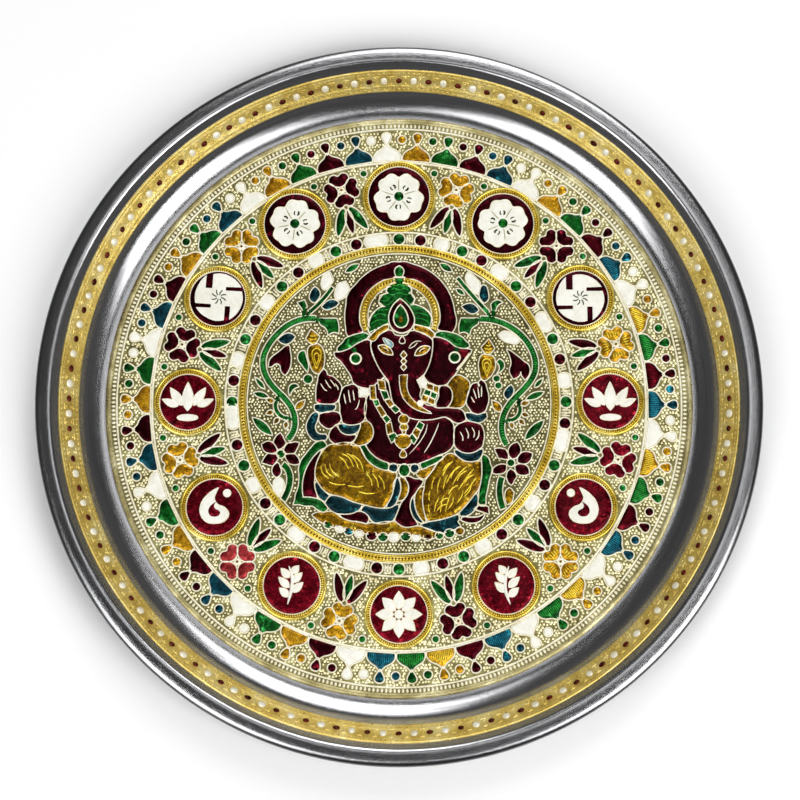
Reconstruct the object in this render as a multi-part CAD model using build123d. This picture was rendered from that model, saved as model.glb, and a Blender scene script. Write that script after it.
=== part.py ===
from build123d import *
import os
from math import ceil, cos, hypot, pi, radians, sin

# Puja thali: a pressed steel dish with a curled rim, a gold foil band round the
# inside of its wall, and an embossed gold foil disc filled with coloured enamel.
# The origin is the middle of the flat underside and +Z points up.

# Driving dimensions, in millimetres and degrees

# Steel dish, measured on the middle line of the sheet
sheet_thickness = 0.7
floor_margin = 0.6  # bare steel floor between the foil disc and the cove
cove_radius = 8.0
wall_angle = 48.0  # slope of the wall above the floor
wall_length = 14.3
curl_radius = 3.6
curl_sweep = 205.0
bend_step = 35.0  # curves of the sheet are drawn as flats that turn by this much at most

# Foil band on the wall
band_start = 3.6  # from the lower end of the straight wall
band_width = 8.8
band_thickness = 0.25
band_glue = 0.1

# Foil disc, zone by zone from the middle outwards
foil_thickness = 0.3
field_radius = 54.5  # round field with the figure and the vines
rope_width = 2.6  # rope ring round the field
rope_height = 0.8
medallion_rope_gap = 0.2  # between an enamel ground and the rope round it
medallion_rope_width = 2.0
medallion_rope_height = 0.7
gem_band_width = 4.6
medallion_radius = 9.9  # enamel ground of one medallion
large_medallion_radius = 11.0
medallion_rim = 2.4  # gold rope and gap round a large ground
border_width = 16.0  # petals, drops and edge, outside the medallions
medallion_count = 12
large_medallions = [2, 3, 4]  # the three at the top, counted from the right

# Enamel fills, which stand a little above the foil
enamel_height = 0.4
curve_flats = 3  # flats along one curved stretch of an enamel outline
medallion_sides = 12
petal_height = 5.2
petal_gap = 0.9
first_petal_angle = 6.0
gem_radius = 1.9
gems_per_colour = 16
gem_sides = 6
flower_radius = 5.6  # flowers of the sprays between the medallions
flower_eye_radius = 1.4
flower_petal_width = 4.6
flower_petals = 4
flower_rise = 5.1  # from the medallions' ring outwards to a flower
sprig_drop = 1.3  # from the medallions' ring inwards to the foot of a sprig
sprig_length = 9.4
sprig_spread = 24.0  # angle between two leaves
sprig_spacing = 1.5  # between the feet of two leaves
leaf_width = 2.7
stem_width = 2.3

# Values worked out from the driving dimensions

wall_slope = radians(wall_angle)
rope_radius = field_radius + rope_width / 2
gem_ring_radius = field_radius + rope_width + gem_band_width / 2
medallion_outer_radius = large_medallion_radius + medallion_rim
medallion_ring_radius = gem_ring_radius + gem_band_width / 2 + medallion_outer_radius
petal_base_radius = medallion_ring_radius + medallion_outer_radius
foil_radius = petal_base_radius + border_width
floor_radius = foil_radius + floor_margin
foil_top = sheet_thickness + foil_thickness

petal_colours = ["blue", "maroon", "green", "amber", "white"]
petal_runs = [
    "maroon green amber white blue " * 4,
    "green amber maroon blue white " * 3,
    "green amber maroon white blue",
    "green amber maroon blue white",
    "green amber white blue maroon",
    "green amber white blue",
]
petal_order = [colour for run in petal_runs for colour in run.split()]
gem_colours = ["green", "white", "maroon"]


# Steel dish

def wall_point(along, inward):
    """Point of the wall's section, from the top of the cove and the middle of the sheet."""
    x = floor_radius + cove_radius * sin(wall_slope)
    z = sheet_thickness / 2 + cove_radius * (1 - cos(wall_slope))
    x += along * cos(wall_slope) - inward * sin(wall_slope)
    z += along * sin(wall_slope) + inward * cos(wall_slope)
    return (x, z)


def arc_points(centre, radius, start, sweep, largest_step):
    """Corners along an arc, no further apart than the largest step."""
    steps = ceil(abs(sweep) / largest_step)
    angles = [radians(start + sweep * step / steps) for step in range(steps + 1)]
    return [(centre[0] + radius * cos(angle), centre[1] + radius * sin(angle)) for angle in angles]


def sheet_side(inward):
    """One side of the sheet's section from the floor to the end of the curl."""
    cove_centre = (floor_radius, sheet_thickness / 2 + cove_radius)
    curl_centre = wall_point(wall_length, -curl_radius)
    floor_middle = (0, sheet_thickness / 2 + inward)
    cove = arc_points(cove_centre, cove_radius - inward, -90, wall_angle, bend_step)
    curl = arc_points(curl_centre, curl_radius + inward, wall_angle + 90, -curl_sweep, bend_step)
    return [floor_middle, *cove, *curl]


def steel_plate():
    top = sheet_side(sheet_thickness / 2)
    under = sheet_side(-sheet_thickness / 2)
    section = make_face(Polyline(*top, *under[::-1], close=True))
    return revolve(Plane.XZ * section, axis=Axis.Z)


def wall_band():
    low = sheet_thickness / 2 + band_glue
    high = low + band_thickness
    band_end = band_start + band_width
    corners = [
        wall_point(band_start, low),
        wall_point(band_end, low),
        wall_point(band_end, high),
        wall_point(band_start, high),
    ]
    section = make_face(Polyline(*corners, close=True))
    return revolve(Plane.XZ * section, axis=Axis.Z)


# Foil disc

def ground_radius(number):
    """Radius of the enamel ground in a medallion."""
    return large_medallion_radius if number in large_medallions else medallion_radius


def medallion_places():
    return list(enumerate(PolarLocations(medallion_ring_radius, medallion_count)))


def medallion_rope(number):
    """Embossed ring round one ground, whose section is a low roof too."""
    inner = ground_radius(number) + medallion_rope_gap
    foot = RegularPolygon(inner + medallion_rope_width, medallion_sides)
    crest = RegularPolygon(inner + medallion_rope_width / 2, medallion_sides)
    crest = Pos(0, 0, medallion_rope_height) * crest
    mound = loft([foot, crest], ruled=True)
    dimple = loft([RegularPolygon(inner, medallion_sides), crest], ruled=True)
    return mound - dimple


def foil_disc():
    """Foil with its embossed ropes: one round the field and one round each medallion."""
    corners = [
        (0, sheet_thickness),
        (foil_radius, sheet_thickness),
        (foil_radius, foil_top),
        (rope_radius + rope_width / 2, foil_top),
        (rope_radius, foil_top + rope_height),
        (rope_radius - rope_width / 2, foil_top),
        (0, foil_top),
    ]
    section = make_face(Polyline(*corners, close=True))
    disc = revolve(Plane.XZ * section, axis=Axis.Z)
    ropes = [Pos(0, 0, foil_top) * place * medallion_rope(number) for number, place in medallion_places()]
    return disc.fuse(*ropes)


# Enamel outlines

def outline_face(outline, grid=1.0):
    """Face inside an outline. A pair is a corner, and a list between two corners
    holds the point that the curve between them passes through."""
    corners = []
    for index, step in enumerate(outline):
        if not isinstance(step, list):
            corners.append(step)
            continue
        curve = ThreePointArc(outline[index - 1], *step, outline[(index + 1) % len(outline)])
        flats = [curve.position_at(flat / curve_flats) for flat in range(1, curve_flats)]
        corners += [(at.X, at.Y) for at in flats]
    return make_face(Polyline(*[(x * grid, y * grid) for x, y in corners], close=True))


def leaf(base, tip, width):
    """Outline of a pointed leaf with one shoulder on each side."""
    along_x = tip[0] - base[0]
    along_y = tip[1] - base[1]
    aside = width / hypot(along_x, along_y)

    def place(forward, sideways):
        x = base[0] + along_x * forward - along_y * aside * sideways
        y = base[1] + along_y * forward + along_x * aside * sideways
        return (x, y)

    return [base, place(0.45, 0.5), tip, place(0.45, -0.5)]


def ribbon(route, width):
    """Outline of a stem of even width along a smooth route."""
    path = Spline(*route)
    steps = 2 * len(route) - 2
    left = []
    right = []
    for step in range(steps + 1):
        at = path.position_at(step / steps)
        along = path.tangent_at(step / steps)
        left.append((at.X - along.Y * width / 2, at.Y + along.X * width / 2))
        right.append((at.X + along.Y * width / 2, at.Y - along.X * width / 2))
    return left + right[::-1]


def mirrored(outlines):
    """The same outlines on the other side of the middle line."""
    return [[(-x, y) for x, y in outline] for outline in outlines]


def enamel(faces):
    """Separate fills of one colour, seated on the foil."""
    fills = [extrude(face, amount=enamel_height) for face in faces]
    return Compound(children=[Pos(0, 0, foil_top) * fill for fill in fills])


def field_grid():
    """The field's outlines are drawn on a grid with 54.5 squares to its radius."""
    return field_radius / 54.5


def field_enamel(outlines):
    return enamel([outline_face(outline, field_grid()) for outline in outlines])


# Border, medallions, gem band and sprays

def border_petals(colour):
    """Petals of one colour with their bases on the border's inner ring."""
    pitch = 360 / len(petal_order)
    half_width = petal_base_radius * pi / len(petal_order) - petal_gap / 2
    shoulder_radius = petal_base_radius + 0.55 * petal_height
    shoulder_half_width = 0.84 * half_width
    petal = outline_face([
        (petal_base_radius, -half_width),
        (shoulder_radius, -shoulder_half_width),
        (petal_base_radius + petal_height, 0),
        (shoulder_radius, shoulder_half_width),
        (petal_base_radius, half_width),
    ])
    places = [place for place, name in enumerate(petal_order) if name == colour]
    return enamel([Rot(0, 0, first_petal_angle + place * pitch) * petal for place in places])


def medallion_grounds():
    grounds = []
    for number, place in medallion_places():
        grounds.append(place * RegularPolygon(ground_radius(number), medallion_sides))
    return enamel(grounds)


def band_gems(colour):
    count = gems_per_colour * len(gem_colours)
    gem = Pos(gem_ring_radius, 0) * RegularPolygon(gem_radius, gem_sides)
    first = gem_colours.index(colour)
    steps = range(first, count, len(gem_colours))
    return enamel([Rot(0, 0, step * 360 / count) * gem for step in steps])


def spray_angles(parity):
    """Every second gap between two medallions."""
    pitch = 360 / medallion_count
    return [pitch * (gap + 0.5) for gap in range(parity, medallion_count, 2)]


def spray_flowers(parity):
    """Petals of the flowers towards the border, widest near their outer ends."""
    wide_at = 0.72 * flower_radius
    petal = outline_face([
        (flower_eye_radius, 0),
        (wide_at, -flower_petal_width / 2),
        (flower_radius, 0),
        (wide_at, flower_petal_width / 2),
    ])
    flower = [Rot(0, 0, turn * 360 / flower_petals) * petal for turn in range(flower_petals)]
    centre = Pos(medallion_ring_radius + flower_rise, 0)
    return [Rot(0, 0, angle) * centre * part for angle in spray_angles(parity) for part in flower]


def spray_leaves(parity, sides):
    """Leaves of the three-leaf sprigs that point to the middle of the disc. Side 0 is
    the middle leaf, and sides -1 and 1 are the outer two."""
    foot = medallion_ring_radius - sprig_drop
    faces = []
    for side in sides:
        turn = radians(side * sprig_spread)
        base = (foot, side * sprig_spacing)
        tip = (base[0] - sprig_length * cos(turn), base[1] + sprig_length * sin(turn))
        face = outline_face(leaf(base, tip, leaf_width))
        faces += [Rot(0, 0, angle) * face for angle in spray_angles(parity)]
    return faces


# Seated figure, on the field's grid

FINIAL = [(0.1, 49.2), (1.5, 47.8), (1.3, 46.4), (0.9, 45.6), (-0.7, 45.6), (-1.1, 46.4), (-1.3, 47.8)]


def halo():
    """Band behind the head, cut away round the finial of the crown."""
    centre = (0.3, 31.0)
    first = -17
    sweep = 217
    inner = arc_points(centre, 14.8, first, sweep, sweep / 12)
    outer = arc_points(centre, 19.4, first, sweep, sweep / 12)
    band = make_face(Polyline(*inner, *outer[::-1], close=True))
    gap = offset(outline_face(FINIAL), amount=0.5, kind=Kind.INTERSECTION)
    return scale(band - gap, field_grid())


EARS = [
    [
        (-22.6, 17.5), (-17.8, 18.4), (-14.6, 20.9), (-10.7, 21.8), [(-8.7, 15.0)], (-5.7, 9.3),
        (-10.9, 5.1), (-15.4, 7.4), [(-18.4, 12.0)],
    ],
    [
        (12.6, 22.9), (16.6, 22.2), (19.4, 19.8), (25.4, 18.4), [(23.0, 14.4)], (19.6, 10.8),
        (16.0, 6.6), (12.6, 6.9), (9.5, 9.4), [(12.0, 15.4)],
    ],
]

HEAD_AND_TRUNK = [
    (-9.3, 21.8), (-6.8, 24.1), (-4.2, 25.5), [(0.8, 23.6)], (5.6, 25.3), (8.6, 24.4), (11.1, 22.8),
    [(10.8, 15.6)], (8.2, 9.9), (6.0, 8.1), (7.0, 5.6), [(8.8, -0.6)], (13.0, -2.5), (20.4, -2.7),
    (22.6, -4.2), (23.2, -6.2), (21.6, -7.0), (18.6, -5.3), (15.4, -4.9), (11.6, -5.9),
    [(1.2, -3.2)], (-3.0, 5.0), (-3.2, 8.4), (-5.0, 9.9), (-7.6, 13.6),
]

CHEST_AND_BELLY = [
    (-10.0, 3.6), (-5.4, 7.7), (-4.2, 6.4), [(0.2, -4.4)], (10.6, -6.9), (13.6, -6.6), (16.2, -6.0),
    (18.9, -9.6), (18.7, -15.4), (13.0, -18.8), (8.0, -21.0), [(-4.6, -20.8)], (-11.3, -15.5),
    [(-8.8, -12.0)], (-9.8, -7.3), (-11.1, -6.2),
]

ARMS_AND_HANDS = [
    # Raised left hand, its arm, the lower left hand and its arm
    [
        (-28.9, 0.6), (-28.8, 7.0), (-26.7, 11.2), (-25.9, 9.7), (-23.6, 8.9), (-20.9, 4.4),
        (-23.4, 0.1), (-26.2, -0.3),
    ],
    [(-28.0, -4.6), (-22.6, -4.2), (-21.3, -5.4), (-21.6, -6.9), (-24.3, -9.0), (-27.0, -7.8)],
    [
        (-20.4, -1.0), (-20.2, 3.6), (-18.4, 5.4), (-14.7, 4.6), (-14.5, 1.2), (-12.2, 1.5),
        (-11.9, -3.4), (-13.4, -6.9), (-16.6, -7.8), (-19.4, -6.9),
    ],
    [(-22.4, -8.4), (-20.6, -11.6), (-15.6, -12.3), (-18.2, -14.8), (-22.4, -15.0), (-23.8, -11.4)],
    # Raised right hand, its arm and the lower right hand
    [
        (25.0, -1.2), (25.2, 4.2), (27.9, 6.5), (28.6, 5.6), (29.2, 7.3), (31.4, 3.4), (31.3, -0.8),
        (28.2, -3.9),
    ],
    [(15.2, 5.3), (17.6, 4.6), (18.6, 2.8), (16.9, -1.7), (13.6, -1.7)],
    [
        (19.6, -12.8), (20.8, -9.2), (23.6, -7.6), (26.8, -7.8), (29.5, -10.0), (29.9, -13.0),
        (28.2, -16.2), (24.6, -17.7), (21.2, -16.4),
    ],
]

SEAT_DRAPES = [
    # Fall of cloth between the legs, seat cushion and drape on the base
    [
        (2.7, -27.1), (7.7, -28.6), (5.2, -32.2), (3.7, -36.0), (4.2, -40.0), (6.2, -43.6), (2.4, -44.2),
        (-0.9, -42.1), (1.4, -37.0), (3.6, -32.6), (3.9, -29.6),
    ],
    [(-27.7, -17.5), [(-31.9, -23.0)], (-33.5, -33.6), (-29.1, -34.0), [(-30.5, -26.0)], (-28.8, -20.0)],
    [
        (-20.4, -40.4), (-16.8, -40.2), (-13.4, -39.4), (-11.5, -40.8), (-11.6, -42.9), (-14.6, -41.7),
        (-17.0, -41.8),
    ],
]

LEGS = [
    # Left leg, right leg, fold and tuck of the right leg
    [
        (-24.6, -16.2), (-14.2, -16.2), [(-9.5, -22.9)], (-1.3, -26.0), (-2.6, -32.4), (-5.8, -37.3),
        (-14.4, -35.7), (-19.8, -33.6), (-23.4, -32.8), [(-29.1, -24.2)],
    ],
    [
        (17.2, -19.6), (19.6, -19.4), (23.6, -21.7), (28.8, -21.6), (28.6, -26.6), (21.4, -38.4),
        (16.6, -41.2), (10.6, -42.1), [(9.1, -33.0)],
    ],
    [(8.4, -30.6), (6.5, -33.4), (6.3, -37.4), (7.6, -40.8), (9.2, -42.6), (7.9, -38.0), (7.7, -33.6)],
    [(6.8, -25.4), (9.6, -24.1), (13.0, -22.4), (11.4, -24.8), (8.8, -26.7)],
]

AMBER_CLOTH = [
    # Scarf loops, brow band, drape and cloth on the base
    [(-13.2, -7.8), (-11.4, -7.3), [(-9.4, -10.8)], (-12.4, -14.9), (-16.8, -15.4), [(-14.2, -12.2)]],
    [
        (17.9, 6.2), (19.6, 8.3), (21.8, 9.0), (23.8, 7.9), (24.8, 5.2), (23.8, 1.4), (20.6, -1.8),
        (17.9, -1.8), (19.4, 1.6), (19.3, 4.4),
    ],
    [(-9.4, 23.8), (-7.2, 26.2), (-4.8, 27.6), (-4.5, 26.6), (-9.2, 22.9)],
    [(5.9, 27.3), (9.4, 26.5), (12.0, 24.6), (11.3, 23.8), (5.8, 26.4)],
    [(0.6, -27.2), (2.6, -29.4), (2.8, -32.0), (0.0, -34.9), (1.5, -31.0)],
    [
        (-30.2, -40.4), (-24.0, -39.8), (-20.6, -41.6), (-12.8, -43.9), (-8.6, -43.6), (-5.6, -42.9),
        (-2.0, -43.0), (1.4, -45.0), (6.6, -44.6), (13.6, -46.9), (12.6, -47.6), (2.0, -46.9),
        [(-13.0, -46.4)], (-27.2, -42.6),
    ],
]

CROWN = [
    FINIAL,
    [(-1.2, 43.1), (-1.3, 44.7), (1.5, 44.7), (1.4, 43.1)],
    [(-3.8, 40.4), (-2.6, 42.3), (2.9, 42.3), (3.7, 40.5), (2.8, 39.5), (-2.7, 39.5)],
    [(-6.5, 36.4), (-5.6, 38.3), (-3.0, 38.8), (-0.6, 38.6), (-3.3, 35.3), (-5.4, 35.1)],
    [(1.4, 38.5), (3.6, 38.8), (4.9, 37.4), (3.9, 36.1)],
    [(-10.0, 29.8), [(-7.4, 33.2)], (-3.9, 34.2), (-4.6, 28.5), (-10.0, 25.0)],
    [(4.9, 34.6), [(9.4, 33.4)], (11.6, 30.2), (11.2, 27.3), (6.2, 28.1)],
]

EAR_LEAVES_AND_BELT = [
    [(-21.6, 18.7), [(-17.6, 23.1)], (-11.6, 23.9), [(-16.2, 20.9)]],
    [(13.2, 24.1), (16.5, 25.1), (19.2, 24.6), (24.6, 20.4), (21.4, 20.2), (18.4, 22.2)],
    [(-13.5, -15.8), (-12.2, -15.7), [(-9.4, -20.0)], (-4.4, -22.2), (-4.4, -23.6), [(-10.4, -21.2)]],
    [(8.1, -22.4), (15.3, -19.5), (15.4, -20.4), (8.5, -23.6)],
]

SEAT_FRAME = [
    [
        (-27.2, -14.0), [(-32.6, -18.6)], (-34.7, -27.6), (-35.2, -31.6), (-37.0, -36.4), (-31.6, -36.3),
        (-26.6, -39.2), (-25.6, -38.0), (-28.4, -35.2), (-34.1, -34.3), [(-33.0, -23.0)], (-26.2, -15.6),
    ],
    [
        (29.9, -19.4), (31.6, -21.8), (31.8, -25.6), (31.0, -31.0), (29.6, -36.4), (28.4, -35.8),
        (29.4, -31.0), (29.9, -26.0), (29.7, -22.0),
    ],
]

BANGLES_AND_SASH = [
    [(-29.4, -1.7), (-26.2, -1.2), (-23.0, -1.6), (-24.2, -3.1), (-26.4, -3.6), (-28.4, -3.0)],
    [(-21.0, -8.4), (-17.6, -8.9), (-14.0, -8.2), (-15.2, -10.2), (-17.8, -11.0), (-20.0, -10.3)],
    [(24.0, -4.4), (27.6, -5.2), (30.6, -4.6), (29.6, -6.3), (27.2, -6.9), (24.8, -6.0)],
    [
        (20.2, -17.6), (22.0, -18.7), (24.6, -19.1), (27.2, -18.6), (29.2, -17.4), (28.2, -19.8),
        (24.8, -20.9), (21.4, -19.8),
    ],
    [
        (-29.4, -4.2), (-31.8, -6.2), (-32.6, -9.2), (-31.2, -12.2), (-28.6, -13.4), (-26.2, -13.3),
        (-26.2, -12.3), (-28.6, -11.8), (-29.9, -9.8), (-29.8, -6.8), (-28.8, -5.0),
    ],
]

HEMS = [
    [(-29.2, -29.0), (-27.6, -31.4), (-24.9, -33.5), (-26.1, -35.2), (-28.0, -33.3)],
    [
        (-23.9, -33.8), (-20.6, -34.2), (-17.2, -35.9), (-13.4, -36.8), (-15.2, -38.8), (-20.2, -39.5),
        (-23.6, -38.0), (-25.7, -35.9),
    ],
    [
        (-11.8, -37.2), (-5.6, -38.6), (-2.8, -38.4), (-0.6, -37.2), (-2.4, -42.1), (-8.4, -42.6),
        (-10.2, -40.2), (-13.0, -38.7),
    ],
    [(-0.5, -27.4), (-0.6, -33.4), (-1.8, -36.0), (-3.8, -37.2), (-1.9, -33.4), (-1.3, -28.2)],
    [(4.9, -34.4), (5.4, -38.4), (8.2, -42.9), (4.8, -39.6)],
    [(8.0, -43.9), (10.8, -43.1), (20.6, -40.9), (20.0, -42.6), (21.4, -44.0), [(15.0, -46.1)]],
    [(22.0, -39.6), (27.2, -33.2), (27.2, -36.2), (24.8, -39.8), (22.4, -40.2)],
]

TUSKS = [
    [(-14.0, 4.0), (-12.2, 4.6), (-10.6, 4.4), (-10.6, 2.8), (-13.8, 2.2)],
    [(6.8, 7.6), (8.4, 8.8), (9.9, 6.1), (7.8, 5.9)],
]


# Vines beside the figure, each drawn as it grows

LEFT_STEM = [
    (-29.8, 30.2), (-38.0, 28.8), (-45.2, 22.6), (-48.6, 14.6), (-45.4, 6.2), (-38.6, -1.4), (-36.9, -7.6),
    (-39.4, -13.4),
]
RIGHT_STEM = [
    (29.2, 30.0), (36.4, 28.8), (43.4, 24.4), (47.6, 18.4), (48.6, 11.6), (44.6, 4.8), (38.4, -2.2),
    (36.4, -9.0), (38.2, -15.4),
]
LOWER_STEMS = [
    [(-41.2, -22.2), (-38.7, -25.8), (-38.8, -30.0), (-41.0, -35.2)],
    [(36.4, -26.8), (35.5, -31.4), (36.8, -38.2)],
]
BRANCHES = [[(-32.2, 32.5), (-28.6, 35.8), (-23.8, 41.8)], [(32.0, 32.3), (27.4, 37.4), (21.0, 45.2)]]
TENDRILS = [
    [(-43.6, 0.4), (-43.6, -2.8), (-42.0, -4.9), (-39.4, -5.8)],
    [(42.8, -1.6), (42.9, -3.8), (41.4, -5.9), (38.9, -6.6)],
]
TRUMPET = [
    (-28.6, 30.4), (-22.2, 30.4), (-21.4, 26.4), (-21.6, 24.6), (-23.2, 25.2), (-25.4, 23.6),
    (-26.2, 26.6), (-28.4, 28.4),
]


def vine_green():
    stems = [ribbon(route, stem_width) for route in [LEFT_STEM, RIGHT_STEM, *LOWER_STEMS]]
    shoots = [ribbon(route, 0.7 * stem_width) for route in [*BRANCHES, *TENDRILS]]
    curled_leaves = [
        [(-34.4, 33.2), (-36.6, 36.2), (-33.8, 37.2), (-32.8, 34.6)],
        [
            (-32.6, 10.6), (-34.6, 13.2), (-36.2, 15.8), (-35.4, 18.2), (-33.6, 18.6), (-32.9, 16.0),
            (-32.2, 13.0),
        ],
        [(-38.5, 1.9), (-39.4, 4.2), (-38.6, 6.3), (-37.0, 6.7), (-35.5, 5.4), (-37.6, 4.4)],
        [(33.2, 33.2), (32.9, 35.4), (35.2, 37.0), (37.4, 36.0), (35.2, 34.4), (34.8, 33.0)],
        [(34.2, 9.9), (35.8, 12.2), (34.7, 14.4), (35.8, 15.6), (37.4, 14.4), (37.6, 12.4), (36.2, 10.8)],
    ]
    leaves = [
        leaf((-19.4, 47.2), (-14.2, 50.2), 2.4),
        leaf((-46.2, 1.8), (-52.0, 3.4), 2.2),
        leaf((-44.8, -12.0), (-52.2, -5.4), 3.2),
        leaf((19.2, 47.4), (14.6, 50.4), 2.4),
        leaf((23.6, 38.8), (20.4, 41.2), 1.8),
        leaf((44.9, 0.8), (51.8, 3.6), 2.4),
        leaf((44.4, -13.8), (51.6, -6.4), 3.2),
    ]
    return field_enamel([*stems, *shoots, TRUMPET, *mirrored([TRUMPET]), *curled_leaves, *leaves])


def vine_maroon():
    paisleys = [
        [
            (-46.0, 13.0), (-45.0, 15.4), (-39.6, 19.8), (-38.8, 16.0), (-39.4, 11.8), (-40.6, 10.0),
            (-41.8, 11.4), (-42.2, 13.4), (-43.4, 14.2),
        ],
        [
            (38.8, 18.8), (41.8, 16.6), (44.8, 13.8), (46.3, 10.4), (44.9, 8.4), (44.4, 10.0), (43.3, 11.2),
            (42.4, 9.4), (40.9, 8.6), (40.0, 10.4), (40.4, 13.4),
        ],
    ]
    left_petals = [
        leaf((-42.7, -16.6), (-42.2, -12.0), 3.2),
        leaf((-43.6, -17.3), (-48.4, -15.2), 3.0),
        leaf((-40.1, -17.6), (-36.0, -15.0), 3.2),
        leaf((-43.4, -19.6), (-48.2, -21.6), 3.6),
        leaf((-39.6, -19.4), (-35.8, -21.6), 2.8),
        leaf((-42.9, -22.2), (-43.3, -26.4), 2.0),
    ]
    right_petals = [
        leaf((38.0, -20.0), (34.4, -17.2), 3.0),
        leaf((40.4, -19.5), (41.8, -15.0), 2.6),
        leaf((42.6, -21.2), (47.0, -18.6), 2.8),
        leaf((41.8, -23.2), (45.8, -25.6), 2.6),
        leaf((39.5, -25.0), (39.7, -29.0), 2.6),
        leaf((37.6, -22.8), (33.8, -25.0), 2.2),
    ]
    return field_enamel([*paisleys, *left_petals, *right_petals])


def vine_amber():
    buds = [
        [
            (-28.9, 10.9), (-31.5, 14.2), (-32.1, 17.2), (-31.3, 19.8), (-29.4, 20.6), (-27.4, 18.8),
            (-26.8, 16.2), (-27.4, 13.4),
        ],
        [
            (30.4, 8.4), (28.8, 11.8), (28.9, 14.6), (30.4, 16.6), (32.2, 16.6), (34.0, 14.6), (33.2, 11.8),
            (31.8, 9.4),
        ],
        [(38.0, -33.2), (39.2, -31.4), (40.3, -32.4), (39.2, -35.0), (38.4, -36.2)],
    ]
    tips = [leaf((-30.4, 21.2), (-31.4, 26.0), 4.2), leaf((31.7, 17.2), (32.1, 22.4), 3.8)]
    return field_enamel([*buds, *tips])


def vine_blue():
    return field_enamel([
        leaf((-30.3, 36.4), (-30.1, 41.6), 2.6),
        leaf((-27.2, 34.6), (-22.2, 35.8), 2.0),
        leaf((-43.0, 22.6), (-37.4, 23.6), 2.2),
        leaf((30.6, 36.2), (30.3, 41.8), 2.6),
        leaf((28.0, 33.4), (22.8, 34.6), 2.0),
        leaf((38.7, 1.0), (39.8, 5.6), 2.2),
    ])


def vine_white():
    return field_enamel([
        leaf((-26.6, 41.2), (-25.2, 47.4), 3.0),
        leaf((-21.8, 37.8), (-19.2, 43.6), 3.2),
        leaf((-42.4, -33.4), (-42.6, -27.4), 3.2),
        leaf((28.3, 39.4), (25.0, 46.8), 3.2),
        leaf((43.0, 22.2), (35.8, 24.2), 3.0),
    ])


os.makedirs("parts", exist_ok=True)
export_step(steel_plate(), "parts/steel_plate.step")
export_step(foil_disc(), "parts/foil_disc.step")
export_step(wall_band(), "parts/wall_band.step")
export_step(medallion_grounds(), "parts/medallion_grounds.step")
for petal_colour in petal_colours:
    export_step(border_petals(petal_colour), f"parts/border_petals_{petal_colour}.step")
for gem_colour in gem_colours:
    export_step(band_gems(gem_colour), f"parts/band_gems_{gem_colour}.step")
export_step(enamel(spray_flowers(0)), "parts/spray_flowers_amber.step")
export_step(enamel(spray_flowers(1)), "parts/spray_flowers_maroon.step")
green_leaves = spray_leaves(0, [0]) + spray_leaves(1, [-1, 1])
maroon_leaves = spray_leaves(0, [-1, 1]) + spray_leaves(1, [0])
export_step(enamel(green_leaves), "parts/spray_leaves_green.step")
export_step(enamel(maroon_leaves), "parts/spray_leaves_maroon.step")
body_parts = [*EARS, HEAD_AND_TRUNK, CHEST_AND_BELLY, *ARMS_AND_HANDS, *SEAT_DRAPES]
body_faces = [outline_face(outline, field_grid()) for outline in body_parts]
export_step(enamel([halo(), *body_faces]), "parts/figure_maroon.step")
export_step(field_enamel(LEGS + AMBER_CLOTH), "parts/figure_amber.step")
export_step(field_enamel(CROWN + EAR_LEAVES_AND_BELT + SEAT_FRAME), "parts/figure_green.step")
export_step(field_enamel(BANGLES_AND_SASH + HEMS), "parts/figure_blue.step")
export_step(field_enamel(TUSKS), "parts/figure_white.step")
export_step(vine_green(), "parts/vine_green.step")
export_step(vine_maroon(), "parts/vine_maroon.step")
export_step(vine_amber(), "parts/vine_amber.step")
export_step(vine_blue(), "parts/vine_blue.step")
export_step(vine_white(), "parts/vine_white.step")
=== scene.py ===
import math
import random
from math import atan2, cos, degrees, hypot, pi, radians, sin

import bpy
import numpy as np
from mathutils import Matrix, Vector, geometry


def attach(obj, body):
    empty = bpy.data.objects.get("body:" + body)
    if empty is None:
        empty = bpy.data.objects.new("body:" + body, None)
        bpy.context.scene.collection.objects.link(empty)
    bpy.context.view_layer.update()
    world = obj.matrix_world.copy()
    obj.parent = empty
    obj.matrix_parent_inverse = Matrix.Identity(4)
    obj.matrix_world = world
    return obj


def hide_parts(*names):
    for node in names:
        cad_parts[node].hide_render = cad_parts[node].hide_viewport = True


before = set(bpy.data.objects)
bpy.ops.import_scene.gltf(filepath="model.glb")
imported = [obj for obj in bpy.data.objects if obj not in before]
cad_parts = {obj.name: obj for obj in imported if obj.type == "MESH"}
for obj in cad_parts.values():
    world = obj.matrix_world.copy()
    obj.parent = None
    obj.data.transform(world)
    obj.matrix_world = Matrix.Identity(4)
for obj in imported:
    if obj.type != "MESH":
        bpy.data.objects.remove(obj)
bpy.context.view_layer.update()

# Looks of the thali, drawn in millimetres and turned into metres when a piece is made

chance = random.Random(7)
MILLIMETRE = 0.001

# Sizes shared with the solids
SHEET = 0.7
FOIL_TOP = 1.0
FIELD_RADIUS = 54.5
ROPE_RADIUS = 55.8
GEM_RING = 59.4
MEDALLION_RING = 75.1
MEDALLION_RADIUS = 9.9
LARGE_MEDALLION_RADIUS = 11.0
PETAL_BASE = 88.5
FOIL_RADIUS = 104.5
FLOOR_RADIUS = 105.1
COVE_RADIUS = 8.0
WALL_ANGLE = radians(48.0)
WALL_LENGTH = 14.3
CURL_RADIUS = 3.6
CURL_SWEEP = radians(205.0)
BAND_START = 3.6
BAND_WIDTH = 8.8
BAND_FACE = 0.7  # from the middle of the sheet to the face of the band

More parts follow.
